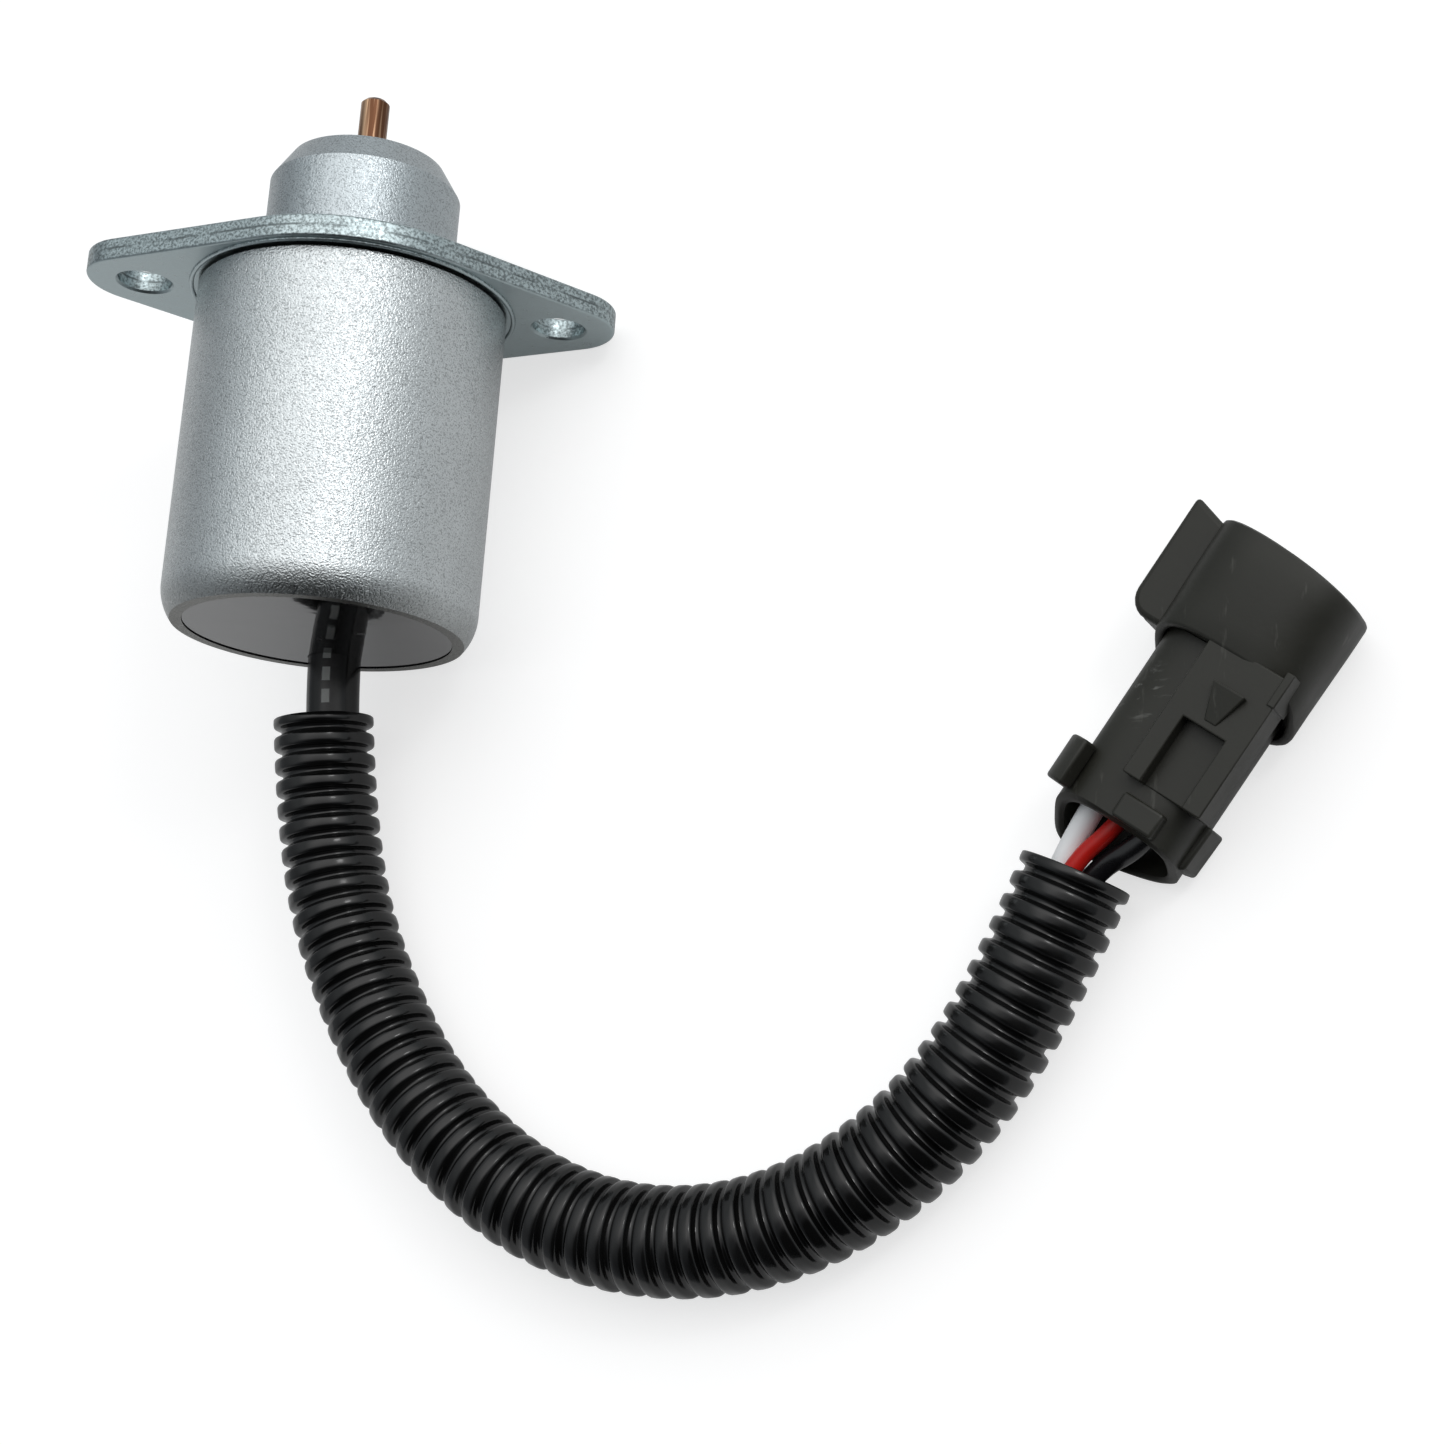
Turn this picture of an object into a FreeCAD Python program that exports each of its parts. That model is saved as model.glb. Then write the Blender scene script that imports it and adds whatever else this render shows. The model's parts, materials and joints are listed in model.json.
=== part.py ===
import FreeCAD, Part
import math
import os
import Sketcher
from types import SimpleNamespace

# Fuel shutoff solenoid: a zinc plated pull-in solenoid on a two-hole flange, with a corrugated
# conduit and a three-way plug. Millimetres. +Y is the plunger's axis, pointing out of the nose,
# +Z is up from the table. The origin is on the axis, on the flange's front (mounting) face.

doc = FreeCAD.newDocument("fuel_shutoff_solenoid")
sheet = doc.addObject("Spreadsheet::Sheet", "Dims")

# Driving dimensions: alias, value, meaning
DRIVING = [
    ("case_radius", 20.8, "outer radius of the case"),
    ("case_wall", 1.6, "wall of the case"),
    ("case_length", 46.4, "flange back face to rear rim"),
    ("case_turn_in", 1.5, "how far the rear rim is turned inwards"),
    ("case_turn_length", 4.2, "length of the turned-in stretch"),
    ("case_turn_bend", 7.0, "bend radius of the turned-in stretch"),
    ("seam_width", 0.5, "dark seam between flange and case"),
    ("seam_depth", 0.6, "depth of that seam"),
    ("flange_thick", 3.1, "thickness of the flange plate"),
    ("flange_mid_radius", 22.7, "middle arc of the lozenge"),
    ("flange_end_radius", 7.7, "rounded ends of the lozenge"),
    ("hole_half_spacing", 28.0, "flange centre to bolt hole"),
    ("hole_radius", 3.6, "bolt hole radius"),
    ("hole_break", 0.3, "edge break of the bolt holes"),
    ("flange_break", 0.4, "edge break of the flange's outline"),
    ("nose_radius", 13.0, "radius of the nose"),
    ("nose_straight", 13.1, "cylindrical length of the nose"),
    ("nose_length", 17.0, "whole length of the nose"),
    ("nose_face_radius", 10.55, "radius of the nose's front face"),
    ("nose_shoulder", 0.5, "shoulder by which the nose is held in the flange"),
    ("nose_end_wall", 3.5, "thickness of the nose's end wall"),
    ("bush_radius", 3.9, "outer radius of the rod bush"),
    ("bush_stand", 0.25, "how far the bush stands out of the nose"),
    ("rod_radius", 1.98, "push rod radius"),
    ("rod_fit", 0.05, "radial clearance of the rod in its bush"),
    ("rod_reach", 27.3, "rod tip in front of the flange face"),
    ("rod_tip_break", 0.5, "chamfer of the rod tip"),
    ("core_radius", 7.8, "plunger radius"),
    ("core_gap", 0.3, "radial clearance of the plunger"),
    ("core_length", 30.2, "length of the plunger"),
    ("core_front_gap", 0.3, "plunger to nose end wall at rest"),
    ("core_cone", 1.2, "chamfer of the plunger's rear end"),
    ("core_web", 4.0, "web between the plunger's rod seat and its spring pocket"),
    ("stroke", 8.3, "travel of the plunger"),
    ("stop_gap", 0.3, "plunger to stop washer when pulled in"),
    ("tube_wall", 0.7, "wall of the guide tube"),
    ("tube_front", 6.0, "guide tube's front end in the nose"),
    ("shim_thick", 0.4, "thickness of the stop washer"),
    ("pole_fit", 0.02, "radial clearance of the pole in its tube"),
    ("spring_radius", 3.2, "mean radius of the return spring"),
    ("spring_wire", 0.45, "wire radius of the return spring"),
    ("spring_turns", 8.0, "turns of the return spring"),
    ("spring_room", 0.55, "clearance round the return spring"),
    ("spring_pocket", 8.0, "depth of the plunger's spring pocket"),
    ("pole_pocket", 6.0, "depth of the pole's spring pocket"),
    ("washer_thick", 1.2, "insulating washer behind the flange"),
    ("bobbin_cheek", 1.5, "thickness of a bobbin cheek"),
    ("bobbin_hub", 1.2, "wall of the bobbin's hub"),
    ("bobbin_gap", 0.6, "bobbin cheek to case"),
    ("pull_share", 0.4865, "pull winding's share of the winding room"),
    ("wrap_thick", 0.4, "thickness of the tape over the windings"),
    ("wrap_inset", 0.8, "tape below the rim of the bobbin's cheeks"),
    ("plate_thick", 3.0, "thickness of the rear flux plate"),
    ("inner_gap", 0.05, "gap between the case and what slides into it"),
    ("potting_inset", 0.15, "potting surface below the rear rim"),
    ("potting_depth", 7.5, "rear rim to rear flux plate"),
    ("exit_edge", 0.36, "cable sleeve to the potting's edge"),
    ("exit_lean", 0.468, "sideways share of the way from the axis down to the cable exit"),
    ("sleeve_radius", 3.6, "outer radius of the cable sleeve"),
    ("sleeve_wall", 0.4, "wall of the cable sleeve"),
    ("sleeve_seat", 5.0, "length of sleeve set in the potting"),
    ("conduit_radius", 6.8, "crest radius of the conduit"),
    ("conduit_bore", 5.4, "bore radius of the conduit"),
    ("white_radius", 1.5, "radius of the white wire"),
    ("red_radius", 1.1, "radius of the red wire"),
    ("black_radius", 1.4, "radius of the black wire"),
    ("plug_x", 108.2, "plug origin, sideways"),
    ("plug_y", -70.3, "plug origin, along the axis"),
    ("plug_height", 8.2, "plug centre line above the table"),
    ("plug_yaw", 57.0, "heading of the plug on the table, degrees"),
    ("hood_length", 18.0, "length of the plug's hood"),
    ("hood_half_width", 9.6, "half the width of the hood"),
    ("hood_half_height", 8.2, "half the height of the hood"),
    ("hood_corner", 4.6, "corner radius of the hood"),
    ("hood_wall", 1.5, "wall of the hood"),
    ("hood_depth", 12.9, "depth of the hood's socket"),
    ("arch_lean", 0.34, "how far the hood's rear leans forwards for each millimetre of height"),
    ("arch_wall", 0.7, "wall left between the leaning rear and the socket, at its thinnest"),
    ("neck_length", 13.0, "length of the plug's neck behind the hood"),
    ("neck_left", 8.6, "neck's left side from the centre line"),
    ("neck_right", 7.8, "neck's right side from the centre line"),
    ("neck_top", 4.9, "neck's top above the centre line"),
    ("neck_bottom", 7.2, "neck's bottom below the centre line"),
    ("neck_corner", 3.0, "corner radius of the neck"),
    ("shroud_out", 4.4, "how far the latch shroud stands out"),
    ("shroud_top", 3.4, "top of the latch shroud"),
    ("shroud_bottom", 5.6, "bottom of the latch shroud"),
    ("shroud_start", 17.0, "rear end of the latch shroud"),
    ("shroud_over", 1.6, "shroud's reach past the hood"),
    ("shroud_corner", 1.8, "corner radius of the shroud"),
    ("shroud_slant", 1.6, "how far the shroud's front runs back towards the hood"),
    ("shroud_round", 2.8, "radius of the shroud's outer rear corner, seen from above"),
    ("latch_slot_width", 1.4, "width of the slot in the shroud"),
    ("latch_slot_height", 2.6, "height of the slot in the shroud"),
    ("latch_slot_inset", 1.2, "slot to the shroud's outer face"),
    ("latch_slot_drop", 1.4, "slot to the shroud's top"),
    ("detail_root", 0.5, "how deep a raised detail is rooted in what carries it"),
    ("cut_past", 0.5, "how far a cutting outline reaches past its piece"),
    ("pad_left", 1.6, "clip seat's left side"),
    ("pad_right", 9.1, "clip seat's right side"),
    ("pad_top", 7.2, "clip seat's top above the centre line"),
    ("pad_start", 0.5, "clip seat's rear end on the neck"),
    ("pad_sink", 0.7, "how far the clip seat runs into the hood's top"),
    ("pad_root", 2.5, "how deep the clip seat is rooted in the neck"),
    ("pad_rim", 2.5, "clip seat left standing on each side of its pocket"),
    ("pocket_length", 8.9, "length of the clip pocket"),
    ("pocket_depth", 1.9, "depth of the clip pocket"),
    ("ramp_start", 10.2, "foot of the clip ramp"),
    ("ramp_length", 4.4, "length of the clip ramp"),
    ("ramp_height", 1.1, "height of the clip ramp"),
    ("ramp_inset", 0.9, "ramp's left side from that of the pocket"),
    ("ramp_width", 4.3, "width of the clip ramp"),
    ("ramp_tail", 1.6, "width of the ramp's foot"),
    ("ramp_toe", 0.1, "height of the ramp's foot"),
    ("pin_pitch", 4.2, "distance between the terminals"),
    ("pin_offset", 0.5, "middle terminal off the centre line"),
    ("pin_radius", 0.75, "contact radius of a terminal"),
    ("pin_reach", 8.9, "terminal's reach into the socket"),
    ("barrel_radius", 1.7, "crimp barrel radius of a terminal"),
    ("barrel_length", 4.0, "crimp barrel length of a terminal"),
    ("seal_radius", 1.95, "bore for a wire seal"),
    ("seal_length", 2.5, "length of a wire seal"),
    ("seal_inset", 0.2, "rear face of a wire seal in its bore"),
    ("lead_straight", 4.0, "straight stretch of a lead behind the plug"),
    ("skirt_length", 9.6, "length of the retainer's skirt at the bottom"),
    ("skirt_top_length", 4.6, "length of the retainer's skirt at the top"),
    ("skirt_wall", 1.3, "wall of the retainer's skirt"),
    ("clip_thick", 2.0, "thickness of the retainer's side clips"),
    ("clip_over", 1.5, "side clips' reach over the neck"),
    ("clip_gap", 0.1, "side clips to neck"),
    ("clip_wrap", 1.4, "left clip's reach over the neck's top corner"),
    ("clip_root", 0.8, "how deep a clip is rooted in the skirt"),
    ("left_clip_low", 4.0, "left clip's bottom below the centre line"),
    ("right_clip_low", 6.0, "right clip's bottom below the centre line"),
    ("right_clip_height", 6.0, "height of the right clip"),
    ("right_clip_tail", 1.2, "right clip's reach behind the left one"),
    ("lip_left", 0.4, "left side of the retainer's lip"),
    ("lip_right", 5.2, "right side of the retainer's lip"),
    ("lip_front", 1.0, "lip's front behind the neck"),
    ("lip_height", 1.1, "height of the lip over the neck's top"),
    ("slope_foot", 2.0, "foot of the skirt's sloped end below the centre line"),
]


class Size:
    """A length that knows both its value and the sheet formula it comes from."""

    def __init__(self, value, text):
        self.value = value
        self.text = text

    def combine(self, other, sign, value):
        right = other.text if isinstance(other, Size) else repr(float(other))
        return Size(value, "(%s %s %s)" % (self.text, sign, right))

    def __add__(self, other):
        return self.combine(other, "+", self.value + number(other))

    def __sub__(self, other):
        return self.combine(other, "-", self.value - number(other))

    def __mul__(self, other):
        return self.combine(other, "*", self.value * number(other))

    def __truediv__(self, other):
        return self.combine(other, "/", self.value / number(other))

    def __neg__(self):
        return Size(-self.value, "(-1 * %s)" % self.text)

    def root(self):
        return Size(math.sqrt(self.value), "sqrt(%s)" % self.text)


def number(size):
    return size.value if isinstance(size, Size) else float(size)


d = SimpleNamespace()
for row, (alias, value, meaning) in enumerate(DRIVING, start=1):
    sheet.set("A%d" % row, meaning)
    sheet.set("B%d" % row, str(value))
    sheet.setAlias("B%d" % row, alias)
    setattr(d, alias, Size(value, "Dims." + alias))
doc.recompute()

PIECES = []


def bind(item, prop, size):
    """Set a property of an object and tie it to the sheet."""
    if isinstance(size, Size):
        item.setExpression(prop, size.text)


def new_body(label):
    body = doc.addObject("PartDesign::Body", label)
    body.Label = label
    PIECES.append(body)
    return body


def new_sketch(body, plane, offset=0.0):
    """A sketch on one of the body's own origin planes, moved along the plane's normal."""
    sketch = body.newObject("Sketcher::SketchObject", body.Name + "_sketch")
    origin_plane = [item for item in body.Origin.OriginFeatures if item.Role == plane][0]
    sketch.AttachmentSupport = [(origin_plane, "")]
    sketch.MapMode = "FlatFace"
    sketch.AttachmentOffset = FreeCAD.Placement(
        FreeCAD.Vector(0, 0, number(offset)), FreeCAD.Rotation())
    bind(sketch, "AttachmentOffset.Base.z", offset)
    return sketch


def point(u, v):
    return FreeCAD.Vector(number(u), number(v), 0)


def fix(sketch, geometry, end, u, v):
    """Tie one end of a sketch line or arc to its distances from the sketch origin."""
    for kind, size in (("DistanceX", u), ("DistanceY", v)):
        index = sketch.addConstraint(
            Sketcher.Constraint(kind, -1, 1, geometry, end, number(size)))
        bind(sketch, "Constraints[%d]" % index, size)


def arc_between(start, end, radius):
    """Arc from start to end; a positive radius bulges to the right of the way there."""
    half = (end - start) * 0.5
    middle = start + half
    rise = math.sqrt(max(radius * radius - half.Length ** 2, 0.0))
    left = FreeCAD.Vector(-half.y, half.x, 0).normalize()
    centre = middle + left * rise * math.copysign(1.0, radius)
    crown = centre - left * abs(radius) * math.copysign(1.0, radius)
    return Part.Arc(start, crown, end)


def add_outline(sketch, corners):
    """Closed outline. A corner is (u, v), or (u, v, bulge) where an arc leads on from it."""
    places = [point(corner[0], corner[1]) for corner in corners]
    shapes = []
    for index, corner in enumerate(corners):
        start = places[index]
        end = places[(index + 1) % len(corners)]
        if len(corner) == 3:
            shapes.append(arc_between(start, end, number(corner[2])))
        else:
            shapes.append(Part.LineSegment(start, end))
    first = sketch.GeometryCount
    for shape in shapes:
        sketch.addGeometry(shape, False)
    for index, corner in enumerate(corners):
        here = first + index
        following = first + (index + 1) % len(corners)
        ends = [sketch.getPoint(here, side) for side in (1, 2)]
        target = places[(index + 1) % len(corners)]
        tail = 2 if ends[1].distanceToPoint(target) < ends[0].distanceToPoint(target) else 1
        heads = [sketch.getPoint(following, side) for side in (1, 2)]
        head = 1 if heads[0].distanceToPoint(target) < heads[1].distanceToPoint(target) else 2
        sketch.addConstraint(Sketcher.Constraint("Coincident", here, tail, following, head))
        fix(sketch, following, head, *corners[(index + 1) % len(corners)][:2])
        if len(corner) == 3:
            radius = corner[2] if number(corner[2]) > 0 else -corner[2]
            last = sketch.addConstraint(Sketcher.Constraint("Radius", here, number(radius)))
            bind(sketch, "Constraints[%d]" % last, radius)


def add_circle(sketch, u, v, radius):
    index = sketch.addGeometry(
        Part.Circle(point(u, v), FreeCAD.Vector(0, 0, 1), number(radius)), False)
    fix(sketch, index, 3, u, v)
    last = sketch.addConstraint(Sketcher.Constraint("Radius", index, number(radius)))
    bind(sketch, "Constraints[%d]" % last, radius)


def add_rounded(sketch, left, right, bottom, top, corner):
    """Rectangle with four round corners."""
    add_outline(sketch, [
        (left + corner, bottom), (right - corner, bottom, corner),
        (right, bottom + corner), (right, top - corner, corner),
        (right - corner, top), (left + corner, top, corner),
        (left, top - corner), (left, bottom + corner, corner),
    ])


def revolved(label, outline, plane="YZ_Plane"):
    """A body turned about the sketch's horizontal axis from (along, radius) corners."""
    body = new_body(label)
    sketch = new_sketch(body, plane)
    add_outline(sketch, outline)
    turn = body.newObject("PartDesign::Revolution", label + "_turn")
    turn.Profile = sketch
    turn.ReferenceAxis = (sketch, ["H_Axis"])
    turn.Angle = 360
    return body


def ring(label, start, end, inner, outer):
    """A plain ring or tube on the plunger's axis."""
    return revolved(label, [(start, inner), (end, inner), (end, outer), (start, outer)])


def pad(body, sketch, length, reverse=False):
    feature = body.newObject("PartDesign::Pad", body.Name + "_pad")
    feature.Profile = sketch
    feature.Length = number(length)
    bind(feature, "Length", length)
    feature.Reversed = reverse
    return feature


def pocket(body, sketch, length, reverse=False):
    feature = body.newObject("PartDesign::Pocket", body.Name + "_pocket")
    feature.Profile = sketch
    feature.Length = number(length)
    bind(feature, "Length", length)
    feature.Reversed = reverse
    return feature


def pocket_through(body, sketch):
    feature = body.newObject("PartDesign::Pocket", body.Name + "_through")
    feature.Profile = sketch
    feature.Type = "ThroughAll"
    feature.Midplane = True
    return feature


def feature_from_shape(label, shape):
    item = doc.addObject("Part::Feature", label)
    item.Label = label
    item.Shape = shape
    PIECES.append(item)
    return item


# Stations along the axis
back = -d.flange_thick
rim = back - d.case_length
case_bore = d.case_radius - d.case_wall
nose_root = d.nose_radius + d.nose_shoulder
nose_wall = d.nose_length - d.nose_end_wall
core_front = nose_wall - d.core_front_gap
core_rear = core_front - d.core_length
shim_front = core_rear - d.stroke - d.stop_gap
pole_front = shim_front - d.shim_thick
tube_bore = d.core_radius + d.core_gap
tube_outer = tube_bore + d.tube_wall
spring_bore = d.spring_radius + d.spring_wire + d.spring_room
washer_rear = back - d.washer_thick
plate_rear = rim + d.potting_depth
bobbin_rear = plate_rear + d.plate_thick
potting_face = rim + d.potting_inset
potting_radius = case_bore - d.inner_gap
sleeve_bore = d.sleeve_radius - d.sleeve_wall

# The cable leaves near the potting's lower edge, a little to the left
exit_reach = potting_radius - d.case_turn_in - d.exit_edge - d.sleeve_radius
exit_z = -(exit_reach / (d.exit_lean * d.exit_lean + 1.0).root())
exit_x = exit_z * d.exit_lean


def dress(body, kind, prop, size, choose):
    """Round or chamfer the chosen edges of what the body holds so far."""
    doc.recompute()
    base = body.Tip
    feature = body.newObject(kind, body.Name + "_dress")
    feature.Base = (base, choose(base.Shape))
    setattr(feature, prop, number(size))
    bind(feature, prop, size)
    return feature


def flat_edges(shape, stations):
    """Names of the edges that lie whole on one of the given stations along Y."""
    names = []
    for index, edge in enumerate(shape.Edges, start=1):
        box = edge.BoundBox
        if box.YLength < 1e-4 and any(abs(box.YMin - number(place)) < 1e-4 for place in stations):
            names.append("Edge%d" % index)
    return names


def circle_edges(shape, radius):
    """Names of the closed circular edges of one radius."""
    names = []
    for index, edge in enumerate(shape.Edges, start=1):
        if edge.isClosed() and abs(getattr(edge.Curve, "Radius", -1) - radius) < 1e-4:
            names.append("Edge%d" % index)
    return names


def make_case():
    """Deep-drawn cup with its rear rim turned in and a thin seam at the flange."""
    turn_start = rim + d.case_turn_length
    revolved("case_shell", [
        (back, case_bore),
        (back, d.case_radius - d.seam_depth),
        (back - d.seam_width, d.case_radius - d.seam_depth),
        (back - d.seam_width, d.case_radius),
        (turn_start, d.case_radius, d.case_turn_bend),
        (rim, d.case_radius - d.case_turn_in),
        (rim, case_bore - d.case_turn_in, -(d.case_turn_bend - d.case_wall)),
        (turn_start, case_bore),
    ])


def make_flange():
    """Lozenge plate: a middle arc, two rounded ends and the straight sides that touch them."""
    lean = (d.flange_mid_radius - d.flange_end_radius) / d.hole_half_spacing
    level = (Size(1.0, "1.0") - lean * lean).root()
    mid_u = d.flange_mid_radius * lean
    mid_v = d.flange_mid_radius * level
    end_u = d.hole_half_spacing + d.flange_end_radius * lean
    end_v = d.flange_end_radius * level
    body = new_body("mounting_flange")
    outline = new_sketch(body, "XZ_Plane")
    add_outline(outline, [
        (mid_u, mid_v, d.flange_mid_radius), (-mid_u, mid_v),
        (-end_u, end_v, d.flange_end_radius), (-end_u, -end_v),
        (-mid_u, -mid_v, d.flange_mid_radius), (mid_u, -mid_v),
        (end_u, -end_v, d.flange_end_radius), (end_u, end_v),
    ])
    pad(body, outline, d.flange_thick)
    dress(body, "PartDesign::Fillet", "Radius", d.flange_break,
          lambda shape: flat_edges(shape, (0.0, back)))
    holes = new_sketch(body, "XZ_Plane")
    add_circle(holes, 0.0, 0.0, nose_root)
    add_circle(holes, d.hole_half_spacing, 0.0, d.hole_radius)
    add_circle(holes, -d.hole_half_spacing, 0.0, d.hole_radius)
    pocket_through(body, holes)
    dress(body, "PartDesign::Chamfer", "Size", d.hole_break,
          lambda shape: circle_edges(shape, number(d.hole_radius)))
    roll = math.degrees(math.asin(number(lean)))
    body.Placement = FreeCAD.Placement(
        FreeCAD.Vector(), FreeCAD.Rotation(FreeCAD.Vector(0, 1, 0), roll))


def make_nose():
    """Nose with its shoulder in the flange, the guide bore, and the push rod's bronze bush."""
    revolved("nose_boss", [
        (back, tube_outer), (d.tube_front, tube_outer), (d.tube_front, tube_bore),
        (nose_wall, tube_bore), (nose_wall, d.bush_radius), (d.nose_length, d.bush_radius),
        (d.nose_length, d.nose_face_radius), (d.nose_straight, d.nose_radius),
        (0.0, d.nose_radius), (0.0, nose_root), (back, nose_root),
    ])
    ring("rod_bush", nose_wall, d.nose_length + d.bush_stand,
         d.rod_radius + d.rod_fit, d.bush_radius)


def make_plunger():
    """The moving core with its spring pocket, and the push rod pressed into its front."""
    pocket_end = core_rear + d.spring_pocket
    rod_rear = pocket_end + d.core_web
    revolved("plunger_core", [
        (core_rear, spring_bore), (pocket_end, spring_bore), (pocket_end, 0.0),
        (rod_rear, 0.0), (rod_rear, d.rod_radius), (core_front, d.rod_radius),
        (core_front, d.core_radius), (core_rear + d.core_cone, d.core_radius),
        (core_rear, d.core_radius - d.core_cone),
    ])
    revolved("push_rod", [
        (rod_rear, 0.0), (d.rod_reach, 0.0), (d.rod_reach, d.rod_radius - d.rod_tip_break),
        (d.rod_reach - d.rod_tip_break, d.rod_radius), (rod_rear, d.rod_radius),
    ])


def make_spring():
    """Coil between the bottoms of the pole's and the plunger's spring pockets."""
    seat = pole_front - d.pole_pocket
    height = core_rear + d.spring_pocket - seat - d.spring_wire * 2
    line = doc.addObject("Part::Helix", "spring_line")
    section = doc.addObject("Part::Circle", "spring_section")
    coil = doc.addObject("Part::Sweep", "return_spring")
    for item, prop, size in (
            (line, "Radius", d.spring_radius), (line, "Height", height),
            (line, "Pitch", height / d.spring_turns), (section, "Radius", d.spring_wire)):
        setattr(item, prop, number(size))
        bind(item, prop, size)
    section.Placement = FreeCAD.Placement(
        FreeCAD.Vector(number(d.spring_radius), 0, 0),
        FreeCAD.Rotation(FreeCAD.Vector(1, 0, 0), 90))
    doc.recompute()
    coil.Sections = [section]
    coil.Spine = (line, ["Edge%d" % index for index in range(1, len(line.Shape.Edges) + 1)])
    coil.Solid = True
    coil.Frenet = True
    coil.Label = "return_spring"
    coil.Placement = FreeCAD.Placement(
        FreeCAD.Vector(0, number(seat + d.spring_wire), 0),
        FreeCAD.Rotation(FreeCAD.Vector(1, 0, 0), -90))
    PIECES.append(coil)


def make_magnet():
    """Guide tube, coil, flux plate, fixed pole and stop washer inside the case."""
    hub = tube_outer + d.bobbin_hub
    cheek = case_bore - d.bobbin_gap
    coil_rear = bobbin_rear + d.bobbin_cheek
    coil_front = washer_rear - d.bobbin_cheek
    hold_outer = cheek - d.wrap_inset - d.wrap_thick
    pull_outer = hub + (hold_outer - hub) * d.pull_share
    ring("guide_tube", plate_rear, d.tube_front, tube_bore, tube_outer)
    ring("insulating_washer", washer_rear, back, tube_outer, cheek)
    revolved("coil_bobbin", [
        (bobbin_rear, tube_outer), (washer_rear, tube_outer), (washer_rear, cheek),
        (coil_front, cheek), (coil_front, hub), (coil_rear, hub), (coil_rear, cheek),
        (bobbin_rear, cheek),
    ])
    ring("pull_winding", coil_rear, coil_front, hub, pull_outer)
    ring("hold_winding", coil_rear, coil_front, pull_outer, hold_outer)
    ring("winding_wrap", coil_rear, coil_front, hold_outer, hold_outer + d.wrap_thick)
    plate = ring("rear_plate", plate_rear, bobbin_rear, tube_outer, potting_radius)
    lead_hole(plate)
    pole_radius = tube_bore - d.pole_fit
    pole_seat = pole_front - d.pole_pocket
    revolved("rear_pole", [
        (plate_rear, 0.0), (pole_seat, 0.0), (pole_seat, spring_bore),
        (pole_front, spring_bore), (pole_front, pole_radius), (plate_rear, pole_radius),
    ])
    ring("stop_washer", pole_front, shim_front, spring_bore, pole_radius)


def lead_hole(body):
    """Round hole for the three leads, in line with the cable exit."""
    hole = new_sketch(body, "XZ_Plane")
    add_circle(hole, exit_x, exit_z, sleeve_bore)
    pocket_through(body, hole)


def make_potting():
    """Resin that closes the rear of the case, cast round the cable sleeve."""
    body = revolved("potting_fill", [
        (potting_face, 0.0), (plate_rear, 0.0), (plate_rear, potting_radius),
        (rim + d.case_turn_length, potting_radius, d.case_turn_bend - d.case_wall),
        (potting_face, potting_radius - d.case_turn_in),
    ])
    lead_hole(body)
    seat = new_sketch(body, "XZ_Plane", -potting_face)
    add_circle(seat, exit_x, exit_z, d.sleeve_radius)
    pocket(body, seat, d.sleeve_seat)


# The conduit's route from its end at the cable sleeve to its end at the plug
CONDUIT_ROUTE = [
    (-6.8, -57.6, -12.9), (-5.4, -76.0, -15.0), (2.2, -94.7, -15.9), (14.2, -110.8, -15.9),
    (30.6, -121.8, -15.9), (48.8, -125.4, -15.9), (67.0, -121.6, -15.9),
    (82.9, -110.3, -15.9), (93.7, -94.2, -15.9), (99.6, -79.2, -15.9),
]
# The leads bend here, behind the case, on their way from the coil to the conduit
EXIT_BEND_Y = -54.0
# The leads lie low in the conduit, on its inner side
BUNDLE_SIDEWAYS = 1.1
BUNDLE_UPWARDS = -0.9
# Each lead's place beside the middle of the bundle: sideways to the left, and upwards
LEAD_PLACES = {
    "white_wire": (1.5, -0.5),
    "red_wire": (0.0, 1.75),
    "black_wire": (-1.5, -0.5),
}


def vector(place):
    return FreeCAD.Vector(*[number(part) for part in place])


def beside(route, sideways, upwards):
    """The route moved sideways, to the left of its heading, and upwards."""
    moved = []
    for index, place in enumerate(route):
        before = vector(route[max(index - 1, 0)])
        after = vector(route[min(index + 1, len(route) - 1)])
        heading = after - before
        left = FreeCAD.Vector(-heading.y, heading.x, 0).normalize()
        spot = vector(place) + left * sideways
        moved.append((spot.x, spot.y, spot.z + upwards))
    return moved


def cord_path(route, name):
    """Straight runs joined by tangent arcs, each as large as its two runs allow."""
    places = [vector(place) for place in route]
    edges = []
    radii = []
    start = places[0]
    for before, corner, after in zip(places, places[1:], places[2:]):
        inward = (before - corner).normalize()
        outward = (after - corner).normalize()
        turn = math.pi - inward.getAngle(outward)
        trim = 0.45 * min((before - corner).Length, (after - corner).Length)
        radius = trim / math.tan(turn / 2)
        bisector = (inward + outward).normalize()
        arc_start = corner + inward * trim
        arc_end = corner + outward * trim
        crown = corner + bisector * (radius / math.cos(turn / 2) - radius)
        edges.append(Part.LineSegment(start, arc_start).toShape())
        edges.append(Part.Arc(arc_start, crown, arc_end).toShape())
        radii.append(radius)
        start = arc_end
    edges.append(Part.LineSegment(start, places[-1]).toShape())
    path = Part.Wire(edges)
    print("%s: length %.1f, arc radii %s" % (
        name, path.Length, " ".join("%.0f" % radius for radius in radii)))
    return path


def tube(path, radius):
    """Round solid along a path."""
    first = path.Edges[0]
    heading = first.tangentAt(first.FirstParameter)
    start = first.valueAt(first.FirstParameter)
    section = Part.Wire([Part.Circle(start, heading, radius).toShape()])
    solid = path.makePipeShell([section], True, True)
    expected = math.pi * radius ** 2 * path.Length
    print("  volume over section times length: %.4f" % (solid.Volume / expected))
    return solid


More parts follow.
